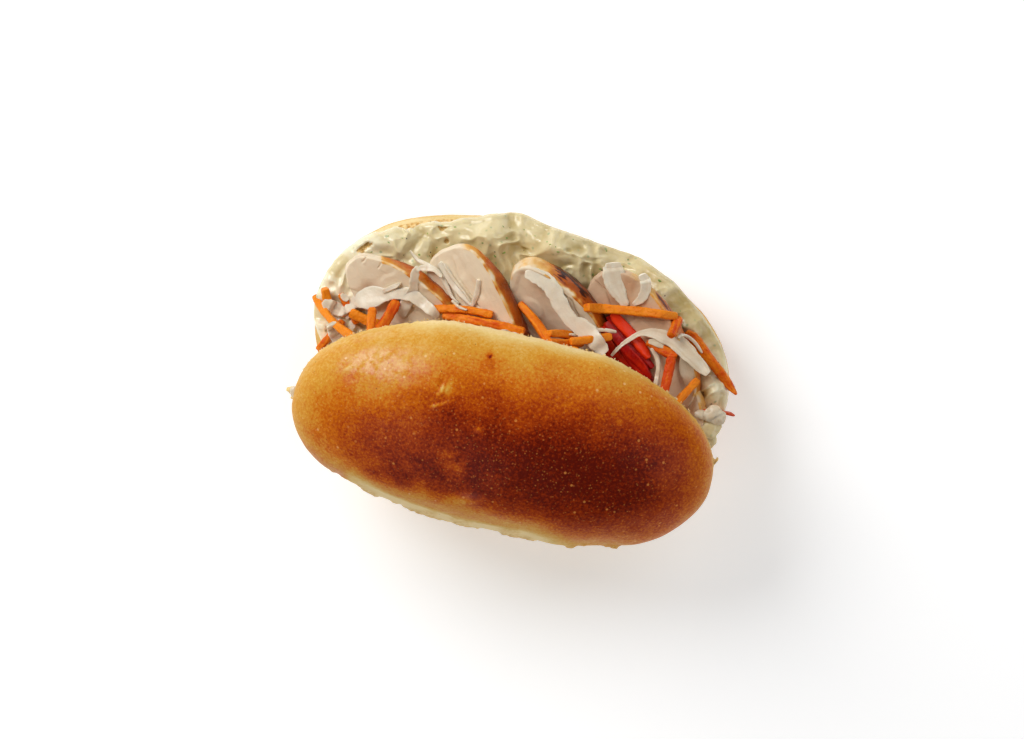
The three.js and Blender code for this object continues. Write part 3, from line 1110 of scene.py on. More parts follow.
    def openness(self, points: RollPoints, seam: Array) -> Array:
        """How far each point is open crumb.

        That is each half's cut face, by its direction and height, the mouth between them, the
        crown's torn edge and the seam.

        Args:
            points: the roll's points.
            seam: its share in the torn seam.

        Returns:
            0 for crust to 1 for crumb.
        """
        places, normals, w = points.places, points.normals, points.local[:, 2]
        z = places[:, 2] - self.height
        ragged = 0.5 * fractal(places, 3.0, 2, 5)
        up_face = ease(normals[:, 2], 0.55, 0.8) * ease(z, -1.6, -0.5) * ease(z, 1.4, 0.6)
        facing = -(normals @ self.crown.axes[:, 2])
        down_face = ease(facing, 0.4, 0.7) * ease(w + ragged, 1.3, 0.5) * (w > -1.5)
        mouth = ease(normals[:, 1], 0.2, 0.5) * (w < 0.5) * (z > 0.5)
        mouth = mouth * (places[:, 1] > self.mouth_front)
        torn = ease(w + 1.3 * ragged, 0.9, 0.1) * (w > -1.5) * (z > 3)
        return np.clip(up_face + down_face + mouth + torn + 0.9 * seam, 0, 1)

    def baking(self, points: RollPoints, sole: Array) -> Array:
        """How far each point is baked.

        The crown is darkest along a line before its top and pales to its ends and sides, most at
        the back on the left. Sides and lower half are pale, and paler along each rim. At the front it
        is paled further as painted light, on a side that faces away from the lamps. Noise mottles it,
        and the patches lie over it.

        Args:
            points: the roll's points.
            sole: how far each one lies on the sole.

        Returns:
            0 for pale to 1 for mahogany, and below 0 for white dough, which at the front is painted light.
        """
        places = points.places
        u, v, w = points.local.T
        z = places[:, 2]
        off = v - 3 + 2.5 * fractal(places, 16.0, 2, 11)
        to_back = np.exp(-(np.abs(off / 29) ** 2.4))
        to_front = np.exp(-(np.abs(off / (20.5 + 6.5 * ease(u, -10, 50))) ** 3.0))
        ends = np.exp(-(np.maximum(0, (np.abs(u) - 20) / 50) ** 4))
        crown = np.where(off > 0, to_back, to_front) * ends * (0.6 + 0.4 * ease(u, -70, 25))
        crown = crown * (1 - 0.3 * ease(u, -22, -52) * ease(v, 2, 18))
        side = ease(w, 22.5, 18.5) * ease(v, -10, -17) * ease(u, -52, -44)
        lowest = (0.23 + 0.06 * ease(u, -30, -45)) * ease(v, -6, -13) * (1 - side)
        crown = np.maximum(crown, lowest * ease(u, -82, -66))
        flank = 0.07 + 0.16 * bell(z, 7, 6) + 0.08 * fractal(places, 18.0, 2, 31)
        bake = np.where(w > 0, crown * ease(w, -1, 8), 0) + (1 - ease(w, -2, 6)) * (flank + 0.2 * sole)
        bake = bake * (1 - 0.15 * ease(v, 0, -12) * ease(u, -15, 15))
        mottles = fractal(places, 9.0, 3, 3) * (0.12 + 0.36 * bell(v, -13, 9) * ease(u, 35, -10))
        bake = bake * (1 + mottles)
        uneven = 1 + 0.8 * fractal(places, 3.0, 2, 13)
        for *at, radius, darker in self.patches:
            bake = bake + darker * near((u, v), at, radius * uneven) * (w > 5)
        crown_rim = ease(w, 12, 4) * ease(v, 14, 26) * ease(u, -50, -30) * ease(u, 46, 30)
        cut_rim = ease(z, self.height - 8, self.height - 2) * ease(places[:, 1], 0, 20) * (w < -5)
        # Painted light: the front side, which faces away from the lamps, is paled towards white dough. The
        # rims' paleness is the crust's own.
        front = 1.25 * side * ease(u, 34, 10) * ease(z, 16, 24)
        return bake - 0.17 * np.maximum(crown_rim, np.maximum(cut_rim, front))

    def unevenness(self, points: RollPoints, crumb: Array, seam: Array) -> Array:
        """How far each point stands out of the even skin.

        Crust has soft waves, its creases and a rough edge at the cut, and crumb has pits.

        Args:
            points: the roll's points.
            crumb: how far each one is open crumb.
            seam: its share in the torn seam.

        Returns:
            The distances.
        """
        places = points.places
        soft = 0.5 * fractal(places, 26.0, 2, 41) + 0.1 * fractal(places, 5.0, 2, 43)
        rim = bell(points.local[:, 2], 0.3, 1.2) * (places[:, 2] > self.height + 4)
        soft = soft + 0.55 * rim * fractal(places, 1.9, 2, 47)
        pits = -1.1 * ease(lattice_noise(places, 2.6, 51), 0.1, 0.7) + 0.25 * fractal(places, 1.8, 2, 53)
        wrinkles = self.wrinkles(points) * (1 - crumb)
        return soft * (1 - crumb) + 0.6 * pits * crumb + wrinkles + 1.25 * seam

    def seam(self, points: RollPoints) -> Array:
        """The torn seam at the front: ragged knots on a band where the side turns down.

        Args:
            points: the roll's points.

        Returns:
            How far each one belongs to it.
        """
        places, normals = points.places, points.normals
        band = bell(normals[:, 2], 0.02, 0.3) * ease(-normals[:, 1], 0.3, 0.7)
        band = band * ease(places[:, 2], self.height - 4, self.height + 3)
        knots = ease(fractal(places * [1, 1, 0.6], 9.0, 3, 203), 0.0, 0.3)
        rough = 0.75 + 0.6 * fractal(places, 2.6, 2, 207)
        return band * knots * rough * ease(np.abs(places[:, 0]), 60, 48)

    def wrinkles(self, points: RollPoints) -> Array:
        """Blisters and creases of the crust: short ridges, each a bell with a groove beside it.

        Args:
            points: the roll's points.

        Returns:
            How far each one stands out.
        """
        u, v, w = points.local.T
        total = 0 * u
        for x, y, length, width, heading, height in self.creases:
            way = math.radians(heading)
            ends = (x, y, x + math.cos(way), y + math.sin(way))
            across, along = from_segment((u, v), ends)
            ridge = bell(across, 0, width) - bell(across, width, width)
            total += height * bell(along, 0, length / 2) * ridge * (w > 5)
        return total

    def rim_crumbs(self, count: int, seed: int) -> Piece:
        """Scatters small crumbs of torn bread along the crown's cut edge at the open side.

        Args:
            count: how many.
            seed: picks their places.

        Returns:
            The piece.
        """
        rng = np.random.default_rng(seed)
        skin = Skin()
        for k in range(count):
            angle = math.radians(rng.uniform(3, 174))
            share = max(0.0, rng.uniform(-0.02, 0.03))
            centre = self.slumped(self.crown_place(np.array([angle]), np.array([share])))[0]
            size = rng.uniform(0.15, 0.36) * np.array([1.3, rng.uniform(0.5, 1), 0.7])
            skin.add_tube(lump(centre, size, rng.uniform(0, 6.3), k, 0.7), tint=rng.uniform(0, 1))
        return add_piece(skin.mesh("rim_crumbs"), CRUMBS.build())

    def nubs(self) -> Piece:
        """Makes the flakes of torn crust at both ends of the hinge.

        Returns:
            The piece.
        """
        skin = Skin()
        for x, y, z, long, wide, turn in self.flakes:
            rings = lump((x, y, z), (long, wide, 0.9), turn, int(z), 0.5, 24, 34)
            rings = rings + 0.35 * fractal(rings, 1.4, 2, 209)[..., None]
            skin.add_tube(rings, tint=0.1)
        return add_piece(skin.mesh("torn_nubs"), LIP.build())


# ---- cream


@dataclass
class Cream:
    """The thick layer of herb cream on the lower half.

    An edge is a way round and a width, in degrees, and how far the rim stands out there. A hole is
    X, Y and radius of bare crumb, a spot of painted shading X, Y, radius and how much painted shade
    it adds, painted light where that is below 0, and a heap X, Y, radius and height.
    """

    roll: Roll
    gap: float = 0.3
    inset: float = 1.0
    front: float = 38.0
    left_reach: float = 0.5
    thickness: float = 3.6
    thinnest: float = 0.5
    waves: float = 0.55
    ridge: float = 2.2
    edge_from: float = 0.955
    edges: Rows = (
        (98.5, 7, 3.6), (70, 16, 1.6), (54, 5, 1.4), (127, 13, -4),
    )
    bare: tuple[float, float] = (127, 20)
    holes: Rows = (
        (-38.1, 35.6, 1.7), (-63.8, 22.2, 3.1), (-35.5, 30.9, 0.9), (-38.4, 24.7, 0.9), (-56, 28, 1.1),
    )
    # Spots of painted shading: a positive amount darkens as painted shade, a negative one lightens as
    # painted light.
    painted_shading_spots: Rows = ((57.4, 28.6, 7, 0.55), (68, 5, 8, -0.6))
    banks: Sequence["Slice"] = ()
    bank_width: float = 7.0
    bank_share: float = 0.5
    heaps: Rows = ((67, 5.5, 6, 8.5), (68.5, -4, 5, 5))
    around: int = 800

    def layer_thickness(self, spots: Spots) -> Array:
        """Thickness of the even layer.

        Long sine waves of the knife, a roll along the open side, the heaps and the banks.

        Args:
            spots: X and Y of places.

        Returns:
            The thickness there.
        """
        x, y = spots
        waves = np.sin(x / 7.5 + np.sin(y / 6)) * np.sin(y / 6.5 + x / 19)
        waves = waves + 0.6 * np.sin(x / 4.3 - y / 5.1)
        inside = np.sqrt(np.maximum(0, 1 - (x / self.roll.half_length) ** 2))
        ridge = self.ridge * bell(y, 38 * inside, 5) * (1 + 0.4 * np.sin(x / 6))
        layer = self.thickness + self.waves * waves + ridge
        for *at, radius, high in self.heaps:
            layer = layer + high * near(spots, at, radius)
        return layer + self.banking(spots)

    def banking(self, spots: Spots) -> Array:
        """Cream pushed up against the slices: a slope from the foot of each browned edge.

        Args:
            spots: X and Y of places.

        Returns:
            How much thicker the layer is there.
        """
        total = 0 * spots[0]
        for cut in self.banks:
            along = np.linspace(0.05, 0.9, 60) * cut.length
            for *at, z in cut.placement.out(joined(along, cut.bow, -cut.thickness * 0.8)):
                climb = (z - self.roll.height - self.thickness) * self.bank_share
                total = np.maximum(total, climb * near(spots, at, self.bank_width))
        return total

    def ring(self, angle: Array, share: Array) -> Spots:
        """Places round the layer: a superellipse, moved out by its edges, sines and noise.

        Args:
            angle: way round, in radians.
            share: share of the way from the middle to the rim.

        Returns:
            X and Y of the places.
        """
        turned = np.degrees(angle)
        reach = sum(by * bell(turned, at, width) for at, width, by in self.edges)
        reach = reach + 0.4 * np.sin(7 * angle) + 0.4 * np.sin(17 * angle + 1) - self.inset
        way = level((np.cos(angle) * 60, np.sin(angle) * 60))
        reach = reach + bell(turned, *self.bare) * 2.4 * fractal(way, 6.0, 3, 63)
        opened = np.sin(angle) > 0
        exponent = np.where(opened, self.roll.back_roundness, 2.0)
        depth = np.where(opened, self.roll.back + reach, self.front)
        width = self.roll.half_length - self.inset + self.left_reach * bell(turned, 180, 24)
        x = share * width * bent(np.cos(angle), exponent)
        y = share * depth * bent(np.sin(angle), exponent)
        return x, y

    def folds(self, spots: Spots) -> tuple[Array, Array]:
        """Relief of the cream: smears pulled by the knife, with lumps and pits on them.

        Noise is read at places that other noise has pushed aside, so that its waves fold over.

        Args:
            spots: X and Y of places.

        Returns:
            The height over the even layer, and the painted shade of each place: more where it lies low.
        """
        flat = level(spots)
        push = np.stack([fractal(flat, 15.0, 2, seed) for seed in (61, 67, 71)], axis=-1)
        pushed = flat + 9.0 * push
        smear = lattice_noise(pushed * [0.8, 1.0, 1.0], 9.0, 73)
        crest = np.clip(1 - 2.6 * np.abs(lattice_noise(pushed, 9.0, 79)), 0, 1) ** 1.6
        lumps = lattice_noise(pushed, 4.2, 83)
        pits = ease(lattice_noise(pushed, 6.0, 89), 0.45, 0.8)
        height = 1.5 * smear + 1.3 * crest + 0.55 * lumps - 0.3 - 1.5 * pits
        height = height + 0.06 * fractal(flat, 1.6, 2, 97)
        # Painted shade: the colour is deeper where the relief lies low.
        return height, ease(-height, -0.8, 1.4)

    def bareness(self, spots: Spots) -> Array:
        """Where the cream is so thin that crumb shows: round patches with ragged, steep sides.

        Args:
            spots: X and Y of places.

        Returns:
            1 in a patch and 0 outside.
        """
        x, y = spots
        ragged = 1 + 0.55 * fractal(level(spots), 2.2, 3, 91)
        total = 0 * x
        for hx, hy, radius in self.holes:
            distance = ((x - hx) ** 2 + (y - hy) ** 2) / (radius * ragged) ** 2
            total = np.maximum(total, np.exp(-(distance**3)))
        return total

    def surface(self, spots: Spots) -> Array:
        """Height of the cream's top over the table at places well inside its edge."""
        top = np.maximum(self.thinnest, self.layer_thickness(spots) + self.folds(spots)[0])
        return self.roll.height + self.gap + top

    def build(self) -> Piece:
        """Makes the layer as rings from its middle out, round its rolled edge and back below.

        The edge follows a quarter circle out and then tucks in below, with noise on it.

        Returns:
            The piece.
        """
        angle = round_ways(self.around)[None]
        inner = np.concatenate([np.linspace(0.2, 0.6, 12), np.linspace(0.61, self.edge_from, 88)])
        spots = self.ring(angle, inner[:, None])
        relief, hollow = self.folds(spots)
        # Painted shading: deeper from X -34 to -15 on, and whiter from X -50 to -65 at the left end as
        # painted light.
        hollow = hollow + 0.25 * ease(spots[0], -34, -15) - 0.65 * ease(spots[0], -50, -65)
        # Each spot adds painted shade, or painted light where its amount is below 0.
        for *at, radius, shade_depth in self.painted_shading_spots:
            hollow = hollow + shade_depth * near(spots, at, radius)
        layer = self.layer_thickness(spots) + relief
        bare = self.bareness(spots)
        top = np.maximum(layer, self.thinnest) * (1 - 0.16 * bare)
        top = top + 0.3 * bare * fractal(level(spots), 0.9, 2, 93)
        turn = np.linspace(0, np.pi * 0.9, 18)[1:, None]
        share = self.edge_from + (1 - self.edge_from) * np.sin(np.minimum(turn, np.pi / 2))
        share = share - 0.012 * np.maximum(0, -np.cos(turn))
        wobble = 0.5 * fractal(level(self.ring(angle, share)), 4.0, 2, 101) * np.sin(turn)
        edge_top = layer[-1:] * np.maximum(0.05, 0.5 + 0.5 * np.cos(turn)) + wobble
        edge = self.ring(angle, share + 0.008 * wobble)
        under = self.ring(angle, np.array([0.9, 0.5, 0.1])[:, None])
        nothing = 0 * under[0]
        parts = ((*spots, top), (*edge, edge_top), (*under, -0.2))
        rings = np.concatenate([joined(*part) for part in parts])
        rings[..., 2] += self.roll.height + self.gap
        # The painted shading goes on the top and the rolled edge, and none below.
        hollows = np.concatenate([hollow, np.repeat(hollow[-1:], len(turn), 0), nothing])
        bares = np.concatenate([bare, 0 * edge[0], nothing])
        skin = Skin()
        skin.add_tube(rings, hollow=hollows, bare=bares)
        mesh = skin.mesh("herb_cream_layer")
        return add_piece(mesh, CreamFinish().build(), ["herb_cream"])

    def flecks(
        self, count: int, seed: int, sizes: tuple[float, float], name: str, finish: StripFinish
    ) -> Piece:
        """Scatters flat flecks on the cream along the open side.

        Args:
            count: how many.
            seed: picks their places.
            sizes: smallest and largest length.
            name: the piece's name.
            finish: their finish.

        Returns:
            The piece.
        """
        rng = np.random.default_rng(seed)
        skin = Skin()
        for k in range(count):
            angle = rng.uniform(math.radians(-12), math.radians(192))
            spots = self.ring(np.array([angle]), np.array([rng.uniform(0.62, 0.97)]))
            size = rng.uniform(*sizes)
            centre = np.ravel([*spots, self.surface(spots) - 0.02])
            shape = np.array([size, size * rng.uniform(0.35, 0.8), 0.16]) / 2
            skin.add_tube(lump(centre, shape, rng.uniform(0, 6.3), k, 0.5), tint=rng.uniform(0, 1))
        return add_piece(skin.mesh(name), finish.build())


# ---- chicken


@dataclass
class Slice:
    """One slice of breast: its cut face up, its browned edge along its own +X at Y = 0.

    Rim is the upper end of the browned edge, which runs by heading and dive. Lean rolls the face up
    to it, and skew sets its far side back. Sear is how brown the edge is, char how burnt, and
    blush how pink the meat, partly as painted shade. A cut is X and Y of both ends and depth, a
    hollow X, Y and radius of a dent whose meat is painted pinker as shade.
    """

    number: int
    rim: Point
    heading: float
    dive: float
    lean: float
    length: float
    width: float
    thickness: float
    skew: float
    sear: float = 0.7
    char: float = 0.0
    blush: float = 0.3
    tip: float = 0.3
    wrap: float = 0.0
    bow: float = 2.0
    cuts: Rows = ()
    hollows: Rows = ()
    pale_tip: float = 0.45
    squareness: float = 2.4
    seared_from: float = -9.0
    taper: float = 0.33
    rounding: float = 0.6
    bulge: float = 0.9
    under: float = 5.0
    around: int = 420

    @property
    def placement(self) -> Placement:
        """The slice's own frame on the table."""
        return Placement(self.rim, self.heading, self.dive, self.lean)

    def outline(self, angle: Array) -> tuple[Array, Array]:
        """The cut face's outline.

        A superellipse, narrowed at its upper end, skewed, and bowed out by half a sine at its rim.

        Args:
            angle: way round, in radians.

        Returns:
            X and Y in the slice's frame.
        """
        along = self.length / 2 * (1 - bent(np.cos(angle), self.squareness))
        rim_side = np.sin(angle) > 0
        over = 0.5 * (1 - bent(np.sin(angle), np.where(rim_side, 3.4, 2.2)))
        narrowed = self.width * (1 - self.taper * (1 - along / self.length) ** 2)
        bowed = self.bow * np.sin(np.pi * np.clip(along / self.length, 0, 1)) * (1 - 2 * over)
        return along - self.skew * over, -narrowed * over + bowed * (over < 0.5)

    def depth(self, x: Array) -> Array:
        """Thickness of the slice over its length: thin at its upper end."""
        return self.thickness * (self.tip + (1 - self.tip) * ease(x, 0, 0.4 * self.length))

    def build(self, finish: Finish) -> Piece:
        """Makes the slice as rings from the middle of its cut face, over its edge and back below.

        The edge is a small quarter circle; the wall swells by half a sine and turns in below.

        Args:
            finish: the meat's material.

        Returns:
            The piece.
        """
        angle = round_ways(self.around)[None]
        edge_x, edge_y = self.outline(angle)
        middle_x, middle_y = edge_x.mean(), edge_y.mean()
        face = np.linspace(0.02, 1, 90)[:, None]
        bend = np.linspace(0, 1, 6)[1:, None] * math.pi / 2
        wall = np.linspace(0, 1, 40)[1:, None]
        share = np.concatenate([face, np.ones((len(bend) + len(wall), 1)), face[::-8]])
        fall = np.concatenate([0 * face, 0 * bend, wall, 0 * face[::-8] + 1])
        drop = np.concatenate([0 * face, 1 - np.cos(bend), 0 * wall + 1, 0 * face[::-8] + 1])
        pull = np.concatenate([
            0 * face + self.rounding,
            self.rounding * (1 - np.sin(bend)),
            self.under * np.maximum(0, wall - 0.25) ** 2 / 0.56 - self.bulge * np.sin(np.pi * wall),
            0 * face[::-8] + self.under,
        ])
        reach = np.hypot(edge_x - middle_x, edge_y - middle_y)
        scale = share * (1 - pull / reach)
        x = middle_x + (edge_x - middle_x) * scale
        y = middle_y + (edge_y - middle_y) * scale
        thick = self.depth(edge_x)
        z = -self.rounding * drop - (thick - self.rounding) * fall
        local = joined(x, y, z)
        on_wall = np.maximum(ease(fall, 0.0, 0.05), 0 * x)
        local, hollow = self.roughened(local, on_wall, share + 0 * x)
        sear, char = self.browning(local, on_wall, fall - 2.2 * (1 - share) + 0 * x)
        skin = Skin()
        # The pink mark carries the meat's pink and the painted shade of the dents.
        skin.add_tube(self.placement.out(local), sear=sear, char=char, blush=self.blush + hollow)
        mesh = skin.mesh(f"grilled_slice_{self.number}")
        return add_piece(mesh, finish, [f"chicken_slice_{self.number}"])

    def roughened(self, local: Array, on_wall: Array, share: Array) -> tuple[Array, Array]:
        """The slice with the unevenness of cut and grilled meat.

        The cut face gets low swells, a few soft facets, its cuts and hollows and a shallow sag, and
        the wall gets lumps.

        Args:
            local: places in the slice's frame.
            on_wall: 1 on the wall and 0 on the cut face.
            share: how near the edge each place is.

        Returns:
            The moved places, and the painted shade of each one: more in the dents.
        """
        seeded = local + self.number * 40.0
        x, y = local[..., 0], local[..., 1]
        fibre = fractal(seeded * [0.6, 1.5, 0.5], 3.4, 2, 103)
        swell = lattice_noise(seeded, 12.0, 107)
        facet = ease(lattice_noise(seeded * [0.6, 1.1, 1.0], 9.0, 109), -0.04, 0.1)
        rise = 0.1 * fibre + 0.5 * swell + 0.4 * facet
        waver = 0.5 * lattice_noise(seeded, 3.0, 111)
        for *ends, depth in self.cuts:
            across, along = from_segment((x, y), ends)
            fade = ease(along, -0.1, 0.15) * ease(along, 1.1, 0.85)
            across = across + waver
            lip = ease(across, -0.1, 0.35) * np.exp(-np.maximum(0, across) / 2.6)
            rise = rise - depth * fade * (np.exp(-((across / 0.35) ** 2)) - 0.6 * lip)
        hollow = 0 * x
        for *at, radius in self.hollows:
            dent = near((x, y), at, radius)
            rise = rise - 0.16 * radius * dent
            # Painted shade: the dent's meat is coloured pinker.
            hollow = hollow + 0.8 * dent
        rise = rise * (1 - on_wall) * ease(share, 0.0, 0.1)
        rise = rise - 0.8 * (1 - share**2) * (1 - on_wall)
        lumps = (0.35 * fractal(seeded, 5.0, 2, 113) + 0.12 * fractal(seeded, 1.6, 2, 117)) * on_wall
        middle = np.array([self.length / 2, -self.width / 2, 0])
        outward = unit((local - middle) * [1, 1, 0])
        moved = local + outward * lumps[..., None]
        moved[..., 2] += rise
        return moved, hollow * (1 - on_wall)

    def browning(self, local: Array, on_wall: Array, fall: Array) -> tuple[Array, Array]:
        """Sear and char of each place.

        Sear covers the rim's wall and, as wrap says, the upper end's, and darkens downwards. Char
        comes in streaks along the wall.

        Args:
            local: places in the slice's frame.
            on_wall: 1 on the wall.
            fall: share of the way down the wall, below 0 on the cut face.

        Returns:
            The two values.
        """
        x, y = local[..., 0], local[..., 1]
        rim = ease(y, -self.width * 0.3, -self.width * 0.08)
        upper = self.wrap * ease(x, self.length * 0.16, self.length * 0.04)
        rim = np.maximum(rim, upper)
        ragged = fractal(local + self.number * 31.0, 4.0, 3, 127)
        along = self.pale_tip + (1 - self.pale_tip) * ease(x, 0, self.length * 0.3)
        sear = rim * ease(fall + 0.07 * ragged, -0.05, 0.05)
        sear = sear * (self.sear * along * (0.6 + 0.6 * fall) + 0.16 * ragged)
        sear = sear * ease(x + 2 * ragged, self.seared_from - 1, self.seared_from + 1.5)
        streak = fractal(local * [0.4, 0.5, 2.2] + self.number * 17.0, 2.4, 3, 129)
        bars = ease(streak, -0.06, 0.22)
        char = rim * self.char * (0.2 + bars) * ease(fall + 0.1 * ragged, 0.0, 0.3)
        return sear, char * ease(x, self.length * 0.12, self.length * 0.22) * ease(x, 29, 22)


@dataclass
class Chicken:
    """The five slices, each lying on the one before it."""

    slices: tuple[Slice, ...] = (
        Slice(
            1, rim=(-61, 20.5, 38), heading=-22, dive=3, lean=29,
            length=47, width=24, thickness=12, skew=3, tip=0.25, bow=2.6, squareness=3.0,
            sear=0.85, blush=0.15, seared_from=5.5,
            cuts=((1.6, 0.5, 1.8, -5.4, 0.5), (7, 0.2, 7.2, -3.4, 0.4)),
            hollows=((9, -12, 3.0),),
        ),
        Slice(
            2, rim=(-26.3, 33.4, 43), heading=-50, dive=3, lean=30,
            length=51, width=27, thickness=13, skew=1, tip=0.3, bow=1.2, squareness=4.5, taper=0.1,
            sear=1.05, blush=0.15,
            cuts=(
                (3.6, -15, 11.4, -14.8, 0.6), (10.6, -14.8, 19, -14.2, 0.5),
                (2.6, -10.7, 10.4, -11.6, 0.6), (9.4, -11.8, 22, -9.1, 0.6),
            ),
        ),
        Slice(
            3, rim=(-4, 32.5, 45), heading=-34, dive=15, lean=31,
            length=49, width=25, thickness=15.5, skew=1, tip=0.8, bow=3.0,
            sear=1.1, char=1.2, blush=0.0, wrap=1.0, pale_tip=0.22,
            cuts=(
                (8.2, -3.4, 14, -0.4, 0.6), (13.4, -0.5, 19.6, 0.7, 0.6), (19, 0.8, 25.4, -1.4, 0.5),
            ),
        ),
        Slice(
            4, rim=(32.5, 38.5, 40.5), heading=-48, dive=5, lean=21,
            length=52, width=32, thickness=13, skew=9, tip=0.4, bow=1.5, squareness=3.2,
            sear=0.8, char=0.7, blush=1.0, wrap=0.1, pale_tip=0.1,
            cuts=((-10.6, -20, -5.4, -17.2, 0.7), (-5.9, -17.4, 0.4, -14.8, 0.6)),
            hollows=((2, -6.8, 2.4), (6, -12, 3.2)),
        ),
        Slice(
            5, rim=(59.5, 9.5, 35.5), heading=-73, dive=4, lean=18,
            length=36, width=22, thickness=12, skew=2, tip=0.5, bow=2.9,
            sear=0.5, char=0.3, blush=0.75,
        ),
    )

    def build(self) -> list[Piece]:
        """Makes every slice with one finish."""
        finish = ChickenFinish().build()
        return [cut.build(finish) for cut in self.slices]


# ---- strips


def tree_of(mesh: Mesh) -> BVHTree:
    """A search tree of a mesh, in millimetres."""
    faces = [tuple(face.vertices) for face in mesh.polygons]
    return BVHTree.FromPolygons((read_points(mesh, "co") / MILLIMETRE).tolist(), faces)


@dataclass
class Pile:
    """What strips fall on, told by search trees: food, and the strips that fell before.

    The crown is the lid over it. Gap is the clearance kept over the food, and sunk is how far a
    strip presses into the strips below.
    """

    roll: Roll
    food: list[BVHTree]
    gap: float = 0.1
    sunk: float = 0.5
    strips: list[BVHTree] = field(default_factory=list)

    def add_rings(self, rings: Array) -> None:
        """Adds a strip, told by its rings, to what later strips fall on."""
        quads = band_faces(*rings.shape[:2])[2]
        self.strips.append(BVHTree.FromPolygons(rings.reshape(-1, 3).tolist(), quads.tolist()))

    def top(self, trees: list[BVHTree], spot: Array) -> float:
        """Where something let down over a spot first touches.

        Args:
            trees: what it can touch.
            spot: its X and Y.

        Returns:
            Height of the highest place there, or of the roll's cut face where nothing lies.
        """
        start, down = Vector((*spot, 200)), Vector((0, 0, -1))
        hits = [tree.ray_cast(start, down)[0] for tree in trees]
        return max([hit.z for hit in hits if hit is not None], default=self.roll.height)

    def rest(self, spots: Array, thickness: float, limpness: float) -> Array:
        """Where a strip comes to rest.

        The lowest straight line that clears every place below, let down by limpness and kept under
        the crown's cut face.

        Args:
            spots: places on the table along the strip, evenly spaced.
            thickness: the strip's thickness.
            limpness: 0 for a stiff strip, 1 for one that follows what it lies on.

        Returns:
            Heights of the strip's middle line.
        """
        support = np.array([
            max(self.top(self.food, spot) + self.gap, self.top(self.strips, spot) - self.sunk)
            for spot in spots
        ]) + thickness / 2
        way = np.arange(len(spots)) - (len(spots) - 1) / 2
        slopes = np.linalg.norm(spots[-1] - spots[0]) / len(spots) * np.linspace(-1.2, 1.2, 97)
        levels = (support - slopes[:, None] * way).max(axis=1)
        bridge = levels.min() + slopes[levels.argmin()] * way
        height = bridge + (support - bridge) * limpness
        return np.minimum(height, self.roll.crown_face(spots[:, 1]) - thickness)


@dataclass(frozen=True)
class Lay:
    """How one strip lies on the table: from X, Y to X, Y, its sideways bow and its width."""

    x0: float
    y0: float
    x1: float
    y1: float
    bow: float
    width: float
    # Tone of the strip; on some strips it is set as painted shade or painted light.
    tint: float = 0.2
    stiff: float = 0.0

    def spots(self, share: Array) -> Array:
        """Places along it: a straight line bowed sideways by half a sine.

        Args:
            share: shares of its length.

        Returns:
            X and Y of the places.
        """
        sideways = unit(np.array([self.y0 - self.y1, self.x1 - self.x0]))
        line = np.outer(1 - share, (self.x0, self.y0)) + np.outer(share, (self.x1, self.y1))
        return line + np.outer(self.bow * np.sin(np.pi * share), sideways)

    def widths(self, share: Array) -> Array:
        """Its width, the same all along."""
        return np.full_like(share, self.width)


@dataclass(frozen=True)
class Leaf:
    """How a piece of leaf lies on the table: X, Y and width at places along it.

    Stiff is how far it bridges what lies under it, whatever its family's limpness.
    """

    knots: Rows
    stiff: float = 0.0
    # Tone of the leaf; on some leaves it is set as painted shade or painted light.
    tint: float = 0.2

    def spots(self, share: Array) -> Array:
        """Places along it: a smooth curve through its knots."""
        return through(np.array(self.knots), share)[:, :2]

    def widths(self, share: Array) -> Array:
        """Its width: a smooth curve through that of its knots."""
        return np.maximum(0.5, through(np.array(self.knots), share)[:, 2])


